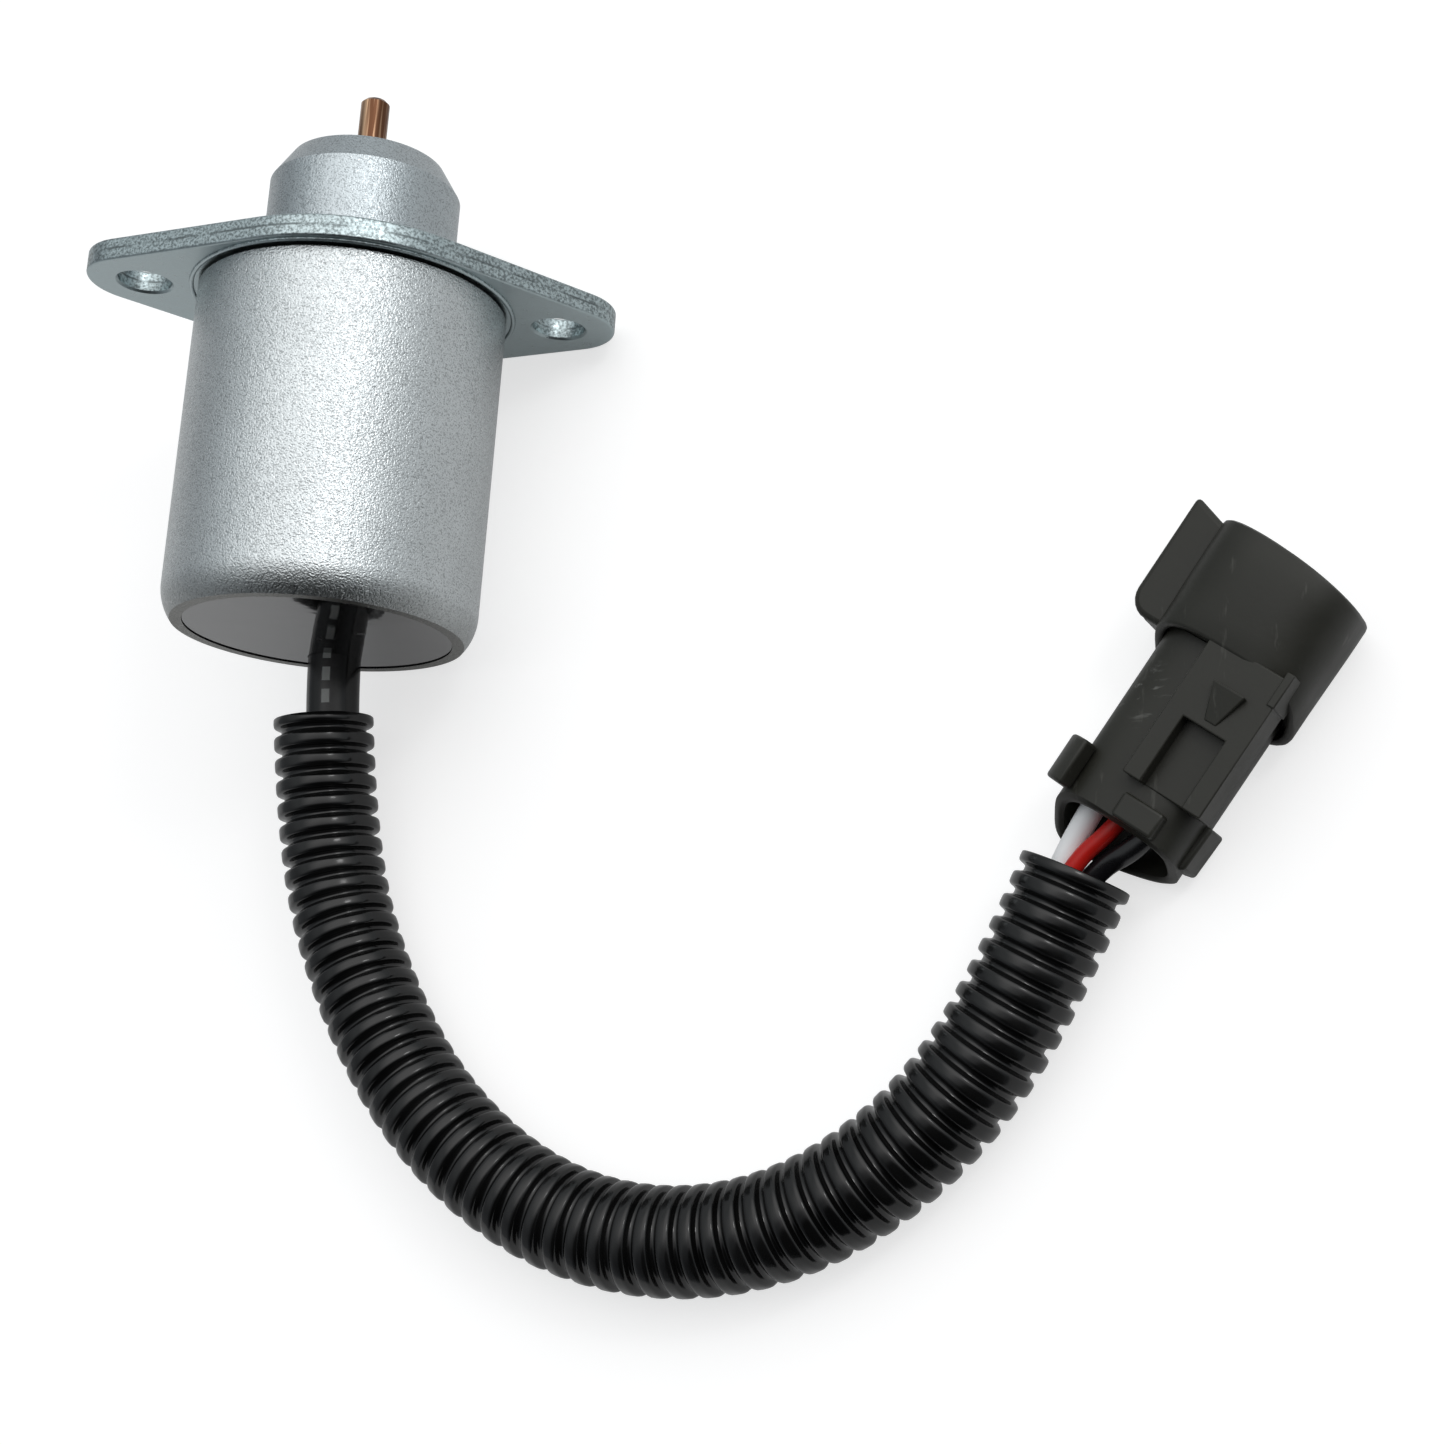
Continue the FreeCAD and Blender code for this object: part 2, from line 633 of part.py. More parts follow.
def plug_placement(left=0.0):
    """The plug's own frame: X to its mouth, Y to its left, Z up; left moves along Y."""
    turn = FreeCAD.Rotation(FreeCAD.Vector(0, 0, 1), number(d.plug_yaw))
    origin = FreeCAD.Vector(
        number(d.plug_x), number(d.plug_y), number(d.plug_height - d.flange_mid_radius))
    return FreeCAD.Placement(origin + turn.multVec(FreeCAD.Vector(0, number(left), 0)), turn)


# The terminals from left to right, with the lead of each
TERMINALS = [
    ("white_wire", d.pin_offset + d.pin_pitch, d.white_radius),
    ("red_wire", d.pin_offset, d.red_radius),
    ("black_wire", d.pin_offset - d.pin_pitch, d.black_radius),
]
barrel_start = d.seal_inset + d.seal_length
barrel_end = barrel_start + d.barrel_length
hood_front = d.neck_length + d.hood_length
socket_floor = hood_front - d.hood_depth


def bundle_route():
    """The middle of the three leads, from the coil through sleeve and conduit."""
    start = (number(exit_x), number(bobbin_rear), number(exit_z))
    bend = (start[0], EXIT_BEND_Y, start[2])
    return [start, bend] + beside(CONDUIT_ROUTE, BUNDLE_SIDEWAYS, BUNDLE_UPWARDS)[1:]


def lead_route(name, left):
    """A lead from the coil, through sleeve and conduit, to its terminal in the plug."""
    route = beside(bundle_route(), *LEAD_PLACES[name])
    bore = plug_placement(left)
    for along in (-d.lead_straight, barrel_start):
        route.append(tuple(bore.multVec(vector((along, 0, 0)))))
    return route


def make_cable():
    """Conduit, sleeve and the three leads."""
    path = cord_path(CONDUIT_ROUTE, "conduit")
    outside = tube(path, number(d.conduit_radius))
    feature_from_shape("conduit", outside.cut(tube(path, number(d.conduit_bore))))
    start, bend, inside = [vector(place) for place in bundle_route()[:3]]
    start.y = number(potting_face + d.sleeve_seat)
    path = cord_path([start, bend, (bend + inside) * 0.5], "cable_sleeve")
    outside = tube(path, number(d.sleeve_radius))
    feature_from_shape("cable_sleeve", outside.cut(tube(path, number(sleeve_bore))))
    for name, left, radius in TERMINALS:
        path = cord_path(lead_route(name, left), name)
        feature_from_shape(name, tube(path, number(radius)))


def make_terminals():
    """A seal and a terminal on each lead, in the plug's bores."""
    for index, (name, left, wire_radius) in enumerate(TERMINALS, start=1):
        seal = revolved("wire_seal_%d" % index, [
            (d.seal_inset, wire_radius), (barrel_start, wire_radius),
            (barrel_start, d.seal_radius), (d.seal_inset, d.seal_radius),
        ], "XY_Plane")
        tip = socket_floor + d.pin_reach
        pin = revolved("terminal_pin_%d" % index, [
            (barrel_start, 0.0), (tip, 0.0), (tip, d.pin_radius * 0.5),
            (tip - d.pin_radius, d.pin_radius), (barrel_end, d.pin_radius),
            (barrel_end, d.barrel_radius), (barrel_start, d.barrel_radius),
        ], "XY_Plane")
        seal.Placement = plug_placement(left)
        pin.Placement = plug_placement(left)


def make_housing():
    """Plug housing: neck, hood with its socket, latch shroud, clip seat and terminal bores."""
    body = new_body("connector_housing")
    hood = new_sketch(body, "YZ_Plane", d.neck_length)
    add_rounded(hood, -d.hood_half_width, d.hood_half_width,
                -d.hood_half_height, d.hood_half_height, d.hood_corner)
    pad(body, hood, d.hood_length)

    # The hood's rear leans forwards, and stops short of the socket's upper rear edge
    arch_foot = socket_floor - d.arch_wall - (d.hood_half_height - d.hood_wall) * d.arch_lean
    above = d.hood_half_height + d.cut_past
    arch = new_sketch(body, "XZ_Plane")
    add_outline(arch, [
        (arch_foot - above * d.arch_lean, -above), (arch_foot + above * d.arch_lean, above),
        (arch_foot - above * d.arch_lean, above),
    ])
    pocket_through(body, arch)

    neck = new_sketch(body, "YZ_Plane")
    add_rounded(neck, -d.neck_right, d.neck_left, -d.neck_bottom, d.neck_top, d.neck_corner)
    pad(body, neck, socket_floor)

    seat_length = arch_foot + d.hood_half_height * d.arch_lean + d.pad_sink - d.pad_start
    seat = new_sketch(body, "YZ_Plane", d.pad_start)
    add_outline(seat, [
        (-d.pad_right, d.neck_top - d.pad_root), (d.pad_left, d.neck_top - d.pad_root),
        (d.pad_left, d.pad_top), (-d.pad_right, d.pad_top),
    ])
    pad(body, seat, seat_length)

    shroud = new_sketch(body, "YZ_Plane", d.shroud_start)
    add_rounded(shroud, d.hood_half_width - d.hood_wall, d.hood_half_width + d.shroud_out,
                -d.shroud_bottom, d.shroud_top, d.shroud_corner)
    shroud_front = hood_front + d.shroud_over
    pad(body, shroud, shroud_front - d.shroud_start)
    shroud_side = d.hood_half_width + d.shroud_out
    slant = new_sketch(body, "XY_Plane")
    add_outline(slant, [
        (shroud_front - d.shroud_slant, d.hood_half_width - d.hood_wall),
        (shroud_front + d.cut_past, d.hood_half_width - d.hood_wall),
        (shroud_front + d.cut_past, shroud_side), (shroud_front, shroud_side),
    ])
    pocket_through(body, slant)
    bend = new_sketch(body, "XY_Plane")
    add_outline(bend, [
        (d.shroud_start - d.cut_past, shroud_side - d.shroud_round),
        (d.shroud_start, shroud_side - d.shroud_round, -d.shroud_round),
        (d.shroud_start + d.shroud_round, shroud_side),
        (d.shroud_start + d.shroud_round, shroud_side + d.cut_past),
        (d.shroud_start - d.cut_past, shroud_side + d.cut_past),
    ])
    pocket_through(body, bend)

    socket = new_sketch(body, "YZ_Plane", hood_front)
    add_rounded(socket, -d.hood_half_width + d.hood_wall, d.hood_half_width - d.hood_wall,
                -d.hood_half_height + d.hood_wall, d.hood_half_height - d.hood_wall,
                d.hood_corner - d.hood_wall)
    pocket(body, socket, d.hood_depth)

    latch = new_sketch(body, "YZ_Plane")
    latch_left = shroud_side - d.latch_slot_inset
    latch_top = d.shroud_top - d.latch_slot_drop
    add_outline(latch, [
        (latch_left - d.latch_slot_width, latch_top - d.latch_slot_height),
        (latch_left, latch_top - d.latch_slot_height),
        (latch_left, latch_top), (latch_left - d.latch_slot_width, latch_top),
    ])
    pocket_through(body, latch)

    clip_pocket = new_sketch(body, "XY_Plane", d.pad_top)
    pocket_left = d.pad_left - d.pad_rim
    pocket_right = -d.pad_right + d.pad_rim
    pocket_end = d.pad_start + d.pocket_length
    add_outline(clip_pocket, [
        (0.0, pocket_right), (pocket_end, pocket_right),
        (pocket_end, pocket_left), (0.0, pocket_left),
    ])
    pocket(body, clip_pocket, d.pocket_depth)

    # The ramp grows wider and higher from its foot to its front
    ramp_middle = pocket_left - d.ramp_inset - d.ramp_width / 2.0
    sections = []
    for along, width, height in (
            (d.ramp_start, d.ramp_tail, d.ramp_toe),
            (d.ramp_start + d.ramp_length, d.ramp_width, d.ramp_height)):
        section = new_sketch(body, "YZ_Plane", along)
        right = ramp_middle - width / 2.0
        left = ramp_middle + width / 2.0
        add_outline(section, [
            (right, d.pad_top - d.detail_root), (left, d.pad_top - d.detail_root),
            (left, d.pad_top + height), (right, d.pad_top + height),
        ])
        sections.append(section)
    ramp = body.newObject("PartDesign::AdditiveLoft", "connector_housing_ramp")
    ramp.Profile = sections[0]
    ramp.Sections = sections[1:]

    for name, left, radius in TERMINALS:
        bore = new_sketch(body, "YZ_Plane")
        add_circle(bore, left, 0.0, d.seal_radius)
        pocket(body, bore, barrel_end, reverse=True)
        hole = new_sketch(body, "YZ_Plane", socket_floor)
        add_circle(hole, left, 0.0, d.pin_radius)
        pocket(body, hole, socket_floor - barrel_end)
    body.Placement = plug_placement()


def wrap_section(low, inner):
    """The left clip from behind: up the neck's side and round its top corner."""
    heart = d.neck_left - d.neck_corner
    level = d.neck_top - d.neck_corner
    reach = d.neck_corner - d.clip_wrap
    outer_radius = d.neck_corner + d.clip_thick
    inner_radius = d.neck_corner + inner
    outer_rise = (outer_radius * outer_radius - reach * reach).root()
    inner_rise = (inner_radius * inner_radius - reach * reach).root()
    return [
        (heart + inner_radius, -low), (heart + outer_radius, -low),
        (heart + outer_radius, level, outer_radius), (heart + reach, level + outer_rise),
        (heart + reach, level + inner_rise, -inner_radius), (heart + inner_radius, level),
    ]


def clip_outline(side, tail):
    """A side clip from above: rooted in the skirt behind the neck, and reaching over the neck."""
    return [
        (-tail, side - d.clip_root), (-d.clip_gap, side - d.clip_root),
        (-d.clip_gap, side + d.clip_gap), (d.clip_over, side + d.clip_gap),
        (d.clip_over, side + d.clip_thick), (-tail, side + d.clip_thick),
    ]


def make_retainer():
    """Rear retainer: a hollow skirt round the leads, with side clips and a top lip."""
    body = new_body("rear_retainer")
    skirt = new_sketch(body, "YZ_Plane")
    add_rounded(skirt, -d.neck_right, d.neck_left, -d.neck_bottom, d.neck_top, d.neck_corner)
    pad(body, skirt, d.skirt_length, reverse=True)

    for inner, front in ((-d.clip_root, -d.clip_gap), (d.clip_gap, d.clip_over)):
        left_clip = new_sketch(body, "YZ_Plane", -d.skirt_top_length)
        add_outline(left_clip, wrap_section(d.left_clip_low, inner))
        pad(body, left_clip, d.skirt_top_length + front)

    right_clip = new_sketch(body, "XY_Plane", -d.right_clip_low)
    tail = d.skirt_top_length + d.right_clip_tail
    add_outline(right_clip, [(u, -v) for u, v in reversed(clip_outline(d.neck_right, tail))])
    pad(body, right_clip, d.right_clip_height)

    lip = new_sketch(body, "XY_Plane", d.neck_top - d.detail_root)
    add_outline(lip, [
        (-d.skirt_top_length, -d.lip_right), (-d.lip_front, -d.lip_right),
        (-d.lip_front, d.lip_left), (-d.skirt_top_length, d.lip_left),
    ])
    pad(body, lip, d.detail_root + d.lip_height)

    opening = new_sketch(body, "YZ_Plane")
    add_rounded(opening, -d.neck_right + d.skirt_wall, d.neck_left - d.skirt_wall,
                -d.neck_bottom + d.skirt_wall, d.neck_top - d.skirt_wall,
                d.neck_corner - d.skirt_wall)
    pocket(body, opening, d.skirt_length)

    # Seen from the side the skirt's rear end slopes, so that the leads show from above
    slope = new_sketch(body, "XZ_Plane")
    above = d.neck_top + d.lip_height + d.cut_past
    add_outline(slope, [
        (-d.skirt_length - d.cut_past, -d.slope_foot), (-d.skirt_length, -d.slope_foot),
        (-d.skirt_top_length, above), (-d.skirt_length - d.cut_past, above),
    ])
    pocket_through(body, slope)
    body.Placement = plug_placement()


def write_parts():
    doc.recompute()
    for item in doc.Objects:
        if "Invalid" in item.State or "Error" in item.State:
            raise RuntimeError("%s did not build: %s" % (item.Name, item.State))
    os.makedirs("parts", exist_ok=True)
    for piece in PIECES:
        shape = piece.Shape
        if shape.isNull() or not shape.isValid():
            raise RuntimeError("%s has no valid shape" % piece.Label)
        shape.exportStep("parts/%s.step" % piece.Label)
        print("%-20s solids %d volume %.2f" % (piece.Label, len(shape.Solids), shape.Volume))


make_case()
make_flange()
make_nose()
make_magnet()
make_potting()
make_plunger()
make_spring()
make_cable()
make_terminals()
make_housing()
make_retainer()
write_parts()
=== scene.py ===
import json
import math

import bmesh
import bpy
from mathutils import Matrix, Quaternion, Vector


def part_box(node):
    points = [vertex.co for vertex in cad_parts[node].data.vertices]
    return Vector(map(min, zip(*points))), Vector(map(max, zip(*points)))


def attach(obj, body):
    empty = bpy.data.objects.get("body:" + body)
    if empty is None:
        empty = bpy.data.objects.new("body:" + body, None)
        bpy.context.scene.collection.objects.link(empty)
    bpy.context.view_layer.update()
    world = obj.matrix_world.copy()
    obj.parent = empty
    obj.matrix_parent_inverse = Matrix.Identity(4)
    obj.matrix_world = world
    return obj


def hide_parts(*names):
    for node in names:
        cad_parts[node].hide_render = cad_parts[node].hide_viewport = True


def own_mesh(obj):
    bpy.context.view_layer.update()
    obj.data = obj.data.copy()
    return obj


# Looks of the fuel shutoff solenoid, in metres, in the frame of the construction:
# +Y along the plunger's axis out of the nose, +Z up from the table.

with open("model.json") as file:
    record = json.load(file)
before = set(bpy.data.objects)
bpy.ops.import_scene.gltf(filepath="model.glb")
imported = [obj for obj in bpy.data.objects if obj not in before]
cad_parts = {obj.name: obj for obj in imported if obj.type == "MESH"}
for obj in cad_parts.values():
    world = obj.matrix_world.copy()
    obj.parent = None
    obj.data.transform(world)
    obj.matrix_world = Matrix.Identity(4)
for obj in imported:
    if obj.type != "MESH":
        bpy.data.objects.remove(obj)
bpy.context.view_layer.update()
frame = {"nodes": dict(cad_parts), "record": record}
nodes = frame["nodes"]
slot_of = {entry["node"]: entry["material_slot"] for entry in frame["record"]["subparts"]}
MM = 0.001

# Sizes shared with the construction
TABLE_Z = -22.7 * MM
FLANGE_THICK = 3.1 * MM
SPRING_RADIUS = 3.2 * MM
SPRING_WIRE = 0.45 * MM
SPRING_TURNS = 8
CONDUIT_RADIUS = 6.8 * MM
CONDUIT_BORE = 5.4 * MM
SLEEVE_RADIUS = 3.6 * MM
SLEEVE_WALL = 0.4 * MM

# Routes in millimetres, as in the construction
CONDUIT_ROUTE = [
    (-6.8, -57.6, -12.9), (-5.4, -76.0, -15.0), (2.2, -94.7, -15.9), (14.2, -110.8, -15.9),
    (30.6, -121.8, -15.9), (48.8, -125.4, -15.9), (67.0, -121.6, -15.9),
    (82.9, -110.3, -15.9), (93.7, -94.2, -15.9), (99.6, -79.2, -15.9),
]
LEAD_ROUTE_START = [(-5.802, -39.0, -12.398), (-5.802, -54.0, -12.398)]
BUNDLE_SIDEWAYS = 1.1
BUNDLE_UPWARDS = -0.9
# A lead's place in the bundle and its bore in the plug in millimetres, its radius and its length
LEADS = {
    "white_wire": {"place": (1.5, -0.5), "bore": 4.7, "radius": 1.5 * MM, "length": 0.1964},
    "red_wire": {"place": (0.0, 1.75), "bore": 0.5, "radius": 1.1 * MM, "length": 0.2001},
    "black_wire": {"place": (-1.5, -0.5), "bore": -3.7, "radius": 1.4 * MM, "length": 0.2048},
}
# Where a lead passes behind the plug and where it ends in it, along the plug
LEAD_ENDS = (-4.0, 2.7)
# Where the sleeve begins inside the potting, in millimetres along the plunger's axis
SLEEVE_START_Y = -44.5

# One corrugation of the conduit: share of the pitch, and how far the wall has risen there
PITCH = 3.0 * MM
VALLEY_DEPTH = 1.05 * MM
WAVE = [(0.0, 0.0), (0.10, 0.03), (0.155, 0.30), (0.19, 0.62), (0.235, 0.86), (0.30, 0.97),
        (0.40, 1.0), (0.60, 1.0), (0.70, 0.97), (0.765, 0.86), (0.81, 0.62), (0.845, 0.30),
        (0.90, 0.03)]
# Each end is cut in the middle of a ridge and keeps half this share of the pitch before it
CUT_SHARE = 0.3
# No ring of the wave lies nearer to an end than this share of the pitch
END_SHARE = 0.08
# The rounded edge of each end: distance from the end, and drop below the crest
CONDUIT_LIP = [(0.0, 0.50 * MM), (0.0, 0.30 * MM), (0.04 * MM, 0.14 * MM), (0.14 * MM, 0.04 * MM)]

# Faces along and round the pieces made here
CONDUIT_SEGMENTS = 48
BORE_STEPS = 60
SLEEVE_SEGMENTS = 40
SLEEVE_STEPS = 40
SPRING_STEPS = 40
SPRING_SEGMENTS = 10
LIP_STEPS = 96
LIP_SEGMENTS = 8
OUTLINE_STEPS = 64
CURVE_STEPS = 24
CURVE_ROUNDNESS = 6
BEVEL_SEGMENTS = 3

# The bead round the case's foot
LIP_RADIUS = 21.75 * MM
LIP_HALF_WIDTH = 0.32 * MM
LIP_HEIGHT = 0.30 * MM
LIP_Y = -3.15 * MM
# Painted shade of the gap between the flange and the case: where it starts along the axis, and the
# reach of its soft edge
GAP_SHADE_Y = -3.62 * MM
GAP_SHADE_REACH = 0.3 * MM

# The plug's moulded form, in millimetres in its own frame: X to the mouth, Y to the left, Z up
PLUG_ORIGIN = (108.2, -70.3, -14.5)
PLUG_YAW = math.radians(57.0)
plug_frame = (Matrix.Translation(Vector(PLUG_ORIGIN) * MM)
              @ Matrix.Rotation(PLUG_YAW, 4, "Z"))
SHARP_ANGLE = math.radians(38)
HOOD = {"middle": -0.2, "half_width": 9.8, "rear_height": 7.35, "front_height": 8.2, "power": 3.0,
        "wall": 1.5, "floor": 18.1, "floor_share": 0.6, "rear": 15.2, "lean": 0.40,
        "mouth": 31.35, "skew": 0.08, "bow": 0.007, "rise_start": 17.5, "rise_length": 9.0}
# The hood's skin from the hollow behind its arch to the inside of its mouth: share and inset
HOOD_RINGS = [
    (0.10, 1.2), (0.012, 1.1), (0.0, 0.85), (0.0, 0.35), (0.012, 0.10), (0.035, 0.0),
    (0.25, 0.0), (0.5, 0.0), (0.75, 0.0), (0.955, 0.0), (0.985, 0.10), (1.0, 0.40),
    (1.0, HOOD["wall"] - 0.2), (0.985, HOOD["wall"]),
]
NECK = {"left": 8.6, "right": -7.8, "top": 4.9, "bottom": -7.2, "front": 18.0,
        "power": 3.3, "wall": 1.4, "recess": 1.0}
CLIP_SEAT = {"left": 1.6, "right": -9.1, "rear": 0.5, "front": 18.8, "top": 7.2, "foot": 2.4,
             "rim": 2.5, "pocket_front": 9.4, "pocket_floor": 5.0, "bevel": 0.18}
# How far the pocket's floor runs into the rims, and stays inside the rear end and the foot
POCKET_UNDER = 0.5
POCKET_BACK = 0.05
POCKET_LIFT = 0.1
RAIL = {"rear": 15.2, "front": 19.6, "outside": 0.15, "inside": 0.9, "foot": 2.0, "rise": 0.2}
# Both ends of the clip ramp: place along, right side, left side and rise
RAMP = [(10.2, -4.75, -3.15, 0.1), (14.6, -6.1, -1.8, 1.15)]
RAMP_ROOT = 0.4
SHROUD = {"rear": 17.0, "root": 8.2, "side": 14.0, "round": 2.8, "round_steps": 6,
          "front": 32.5, "front_root": 31.0, "front_bend": 9.2, "bottom": -5.6, "top": 3.4,
          "bevel": 0.7}
LATCH_SLOT = ((16.0, 21.0), (11.3, 12.9), (0.6, 2.7))
SKIRT = {"least": 4.4, "more": 5.2, "share": 0.9, "tilt": 0.045}
# The skirt's section: inset from the neck's outline, and share of the skirt's reach
SKIRT_RINGS = [(1.3, 0.0), (0.0, 0.0), (0.0, 1.0), (0.45, 1.04), (0.9, 1.04), (1.3, 1.0)]
LEFT_CLIP = {"centre": (5.6, 1.9), "outer": 5.0, "inner": 2.6, "foot": -4.0, "rear": -4.6,
             "front": 1.3, "steps": 7, "step_degrees": 10}
RIGHT_CLIP = [(-5.6, -6.9), (-5.2, -8.5), (0.6, -8.7), (0.6, -6.9)]
RIGHT_CLIP_HEIGHTS = (-6.2, -0.6)
TOP_TAB = ((-4.4, -1.2), (-5.2, 0.4), (3.9, 6.0))
CLIP_BEVEL = 0.4
# Below this distance, points that a cut leaves side by side become one
WELD_DISTANCE = 0.004 * MM

# A rubbed patch on the plug's neck, in the plug's own frame
RUBBED_PLACE = (9.5, 5.2, 4.6)
RUBBED_RADIUS = 4.5 * MM

# The table: its reach, its own white, and the white and glow that the camera sees
TABLE_REACH = 3.0
TABLE_WHITE = (0.56, 0.56, 0.56, 1.0)
TABLE_SEEN = (0.48, 0.48, 0.48, 1.0)
TABLE_GLOW = 0.66
# How much of the table's white glow is seen in what mirrors it
MIRRORED_SHARE = 0.3
# The room: bright towards one side of its ceiling, dark towards another
SKY_STRENGTH = 1.85
BRIGHT_SIDE = (0.33, 0.31, 0.89)
BRIGHT_STOPS = [(0.0, (0.17, 0.18, 0.19)), (0.55, (0.35, 0.37, 0.38)), (0.97, (1.0, 1.0, 1.0))]
DARK_SIDE = (0.33, -0.74, 0.58)
DARK_STOPS = [(0.42, (1.0, 1.0, 1.0)), (0.72, (0.40, 0.40, 0.41)), (0.88, (0.04, 0.04, 0.04))]
# The lamp: direction from its target, distance and size in metres, power in watts
LAMP_TARGET = Vector((0.03, -0.04, 0.0))
LAMP_DIRECTION = Vector((0.62, 0.35, 0.70))
LAMP_DISTANCE = 0.8
LAMP_WIDTH = 0.12
LAMP_HEIGHT = 0.16
LAMP_POWER = 0.55

CAMERA_PLACE = Vector((0.18012, -0.12688, 0.24958))
CAMERA_TARGET = Vector((0.0533, -0.0600, -0.0139))
CAMERA_ROLL = math.radians(61.18)
CAMERA_LENS = 59.06
CAMERA_SENSOR = 36.0
CAMERA_CLIP = 0.01

# Materials without a function of their own, by the construction's slot name
METALS = {
    "bronze": ((0.55, 0.42, 0.27), 0.35),
    "brass_tube": ((0.80, 0.64, 0.36), 0.3),
    "copper_wire": ((0.72, 0.36, 0.20), 0.3),
    "soft_iron": ((0.50, 0.50, 0.52), 0.4),
    "plated_iron": ((0.66, 0.66, 0.68), 0.3),
    "spring_steel": ((0.55, 0.56, 0.58), 0.3),
    "tinned_brass": ((0.74, 0.72, 0.68), 0.25),
}
MOULDINGS = {
    "insulation": {"color": (0.70, 0.62, 0.38), "roughness": 0.4},
    "bobbin_plastic": {"color": (0.05, 0.05, 0.05), "roughness": 0.45},
    "conduit_black": {"color": (0.002, 0.002, 0.002), "roughness": 0.16, "grain": 0.05,
                      "shine": 0.42},
    "wire_white": {"color": (0.88, 0.89, 0.90), "roughness": 0.32, "grain": 0.03},
    "wire_red": {"color": (0.45, 0.008, 0.004), "roughness": 0.34, "grain": 0.03, "shine": 0.3},
    "wire_black": {"color": (0.005, 0.005, 0.006), "roughness": 0.25, "grain": 0.03},
    "plug_plastic": {"color": (0.0175, 0.0175, 0.0135), "roughness": 0.42, "grain": 0.14,
                     "scuffs": 0.6, "shine": 0.30},
    "seal_rubber": {"color": (0.30, 0.06, 0.03), "roughness": 0.5},
}


# Materials

class Nodes:
    """A node tree with short calls for the nodes it needs."""

    def __init__(self, tree):
        self.nodes = tree.nodes
        self.links = tree.links

    def add(self, kind, **sockets):
        node = self.nodes.new(kind)
        for socket, value in sockets.items():
            self.feed(node, socket.replace("_", " "), value)
        return node

    def feed(self, node, socket, value):
        if isinstance(value, bpy.types.NodeSocket):
            self.links.new(value, node.inputs[socket])
        else:
            node.inputs[socket].default_value = value

    def compute(self, kind, operation, *values):
        """A Math or Vector Math node."""
        node = self.nodes.new(kind)
        node.operation = operation
        for index, value in enumerate(values):
            self.feed(node, index, value)
        return node

    def ramp(self, factor, stops, interpolation="LINEAR"):
        """Colours or greys at places from 0 to 1."""
        node = self.add("ShaderNodeValToRGB", Fac=factor)
        node.color_ramp.interpolation = interpolation
        elements = node.color_ramp.elements
        while len(elements) < len(stops):
            elements.new(0.5)
        for element, (where, color) in zip(elements, stops):
            element.position = where
            shade = color if isinstance(color, tuple) else (color, color, color)
            element.color = (*shade, 1.0)
        return node.outputs["Color"]

    def choose(self, factor, first, second):
        """One of two shaders, or a share of each."""
        node = self.nodes.new("ShaderNodeMixShader")
        for index, value in enumerate((factor, first.outputs[0], second.outputs[0])):
            self.feed(node, index, value)
        return node


class Shader(Nodes):
    """A material with a Principled surface."""

    def __init__(self, name, color, roughness, metallic=0.0):
        self.material = bpy.data.materials.new(name)
        self.material.use_nodes = True
        super().__init__(self.material.node_tree)
        self.surface = self.nodes["Principled BSDF"]
        self.into("Base Color", (*color, 1.0))
        self.into("Roughness", roughness)
        self.into("Metallic", metallic)
        self.place = self.add("ShaderNodeTexCoord").outputs["Object"]

    def into(self, socket, value):
        self.feed(self.surface, socket, value)

    def noise(self, scale, detail, rough, stretch=(1, 1, 1)):
        mapping = self.add("ShaderNodeMapping", Vector=self.place, Scale=stretch)
        noise = self.add("ShaderNodeTexNoise", Vector=mapping.outputs["Vector"], Scale=scale,
                         Detail=detail, Roughness=rough)
        return noise.outputs["Fac"]

    def along_axis(self, vector):
        """The part of a vector that lies along the plunger's axis."""
        return self.add("ShaderNodeSeparateXYZ", Vector=vector).outputs["Y"]

    def facing(self):
        """How far the surface faces along the plunger's axis, from -1 to 1."""
        return self.along_axis(self.add("ShaderNodeTexCoord").outputs["Normal"])

    def share(self, value, low, high):
        """0 where the value is low, 1 where it is high."""
        return self.add("ShaderNodeMapRange", Value=value, From_Min=low,
                        From_Max=high).outputs["Result"]

    def mix(self, factor, first, second, blend="MIX"):
        node = self.nodes.new("ShaderNodeMix")
        node.data_type = "RGBA"
        node.blend_type = blend
        for index, value in ((0, factor), (6, first), (7, second)):
            plain = index > 0 and isinstance(value, tuple)
            self.feed(node, index, (*value, 1.0) if plain else value)
        return node.outputs[2]

    def bump(self, height, strength, distance, under=None):
        node = self.add("ShaderNodeBump", Height=height, Strength=strength, Distance=distance)
        if under is not None:
            self.feed(node, "Normal", under)
        return node.outputs["Normal"]


def scaled(color, factor, more=0.0):
    """A colour times a factor, with the same amount added to each part."""
    return tuple(part * factor + more for part in color)


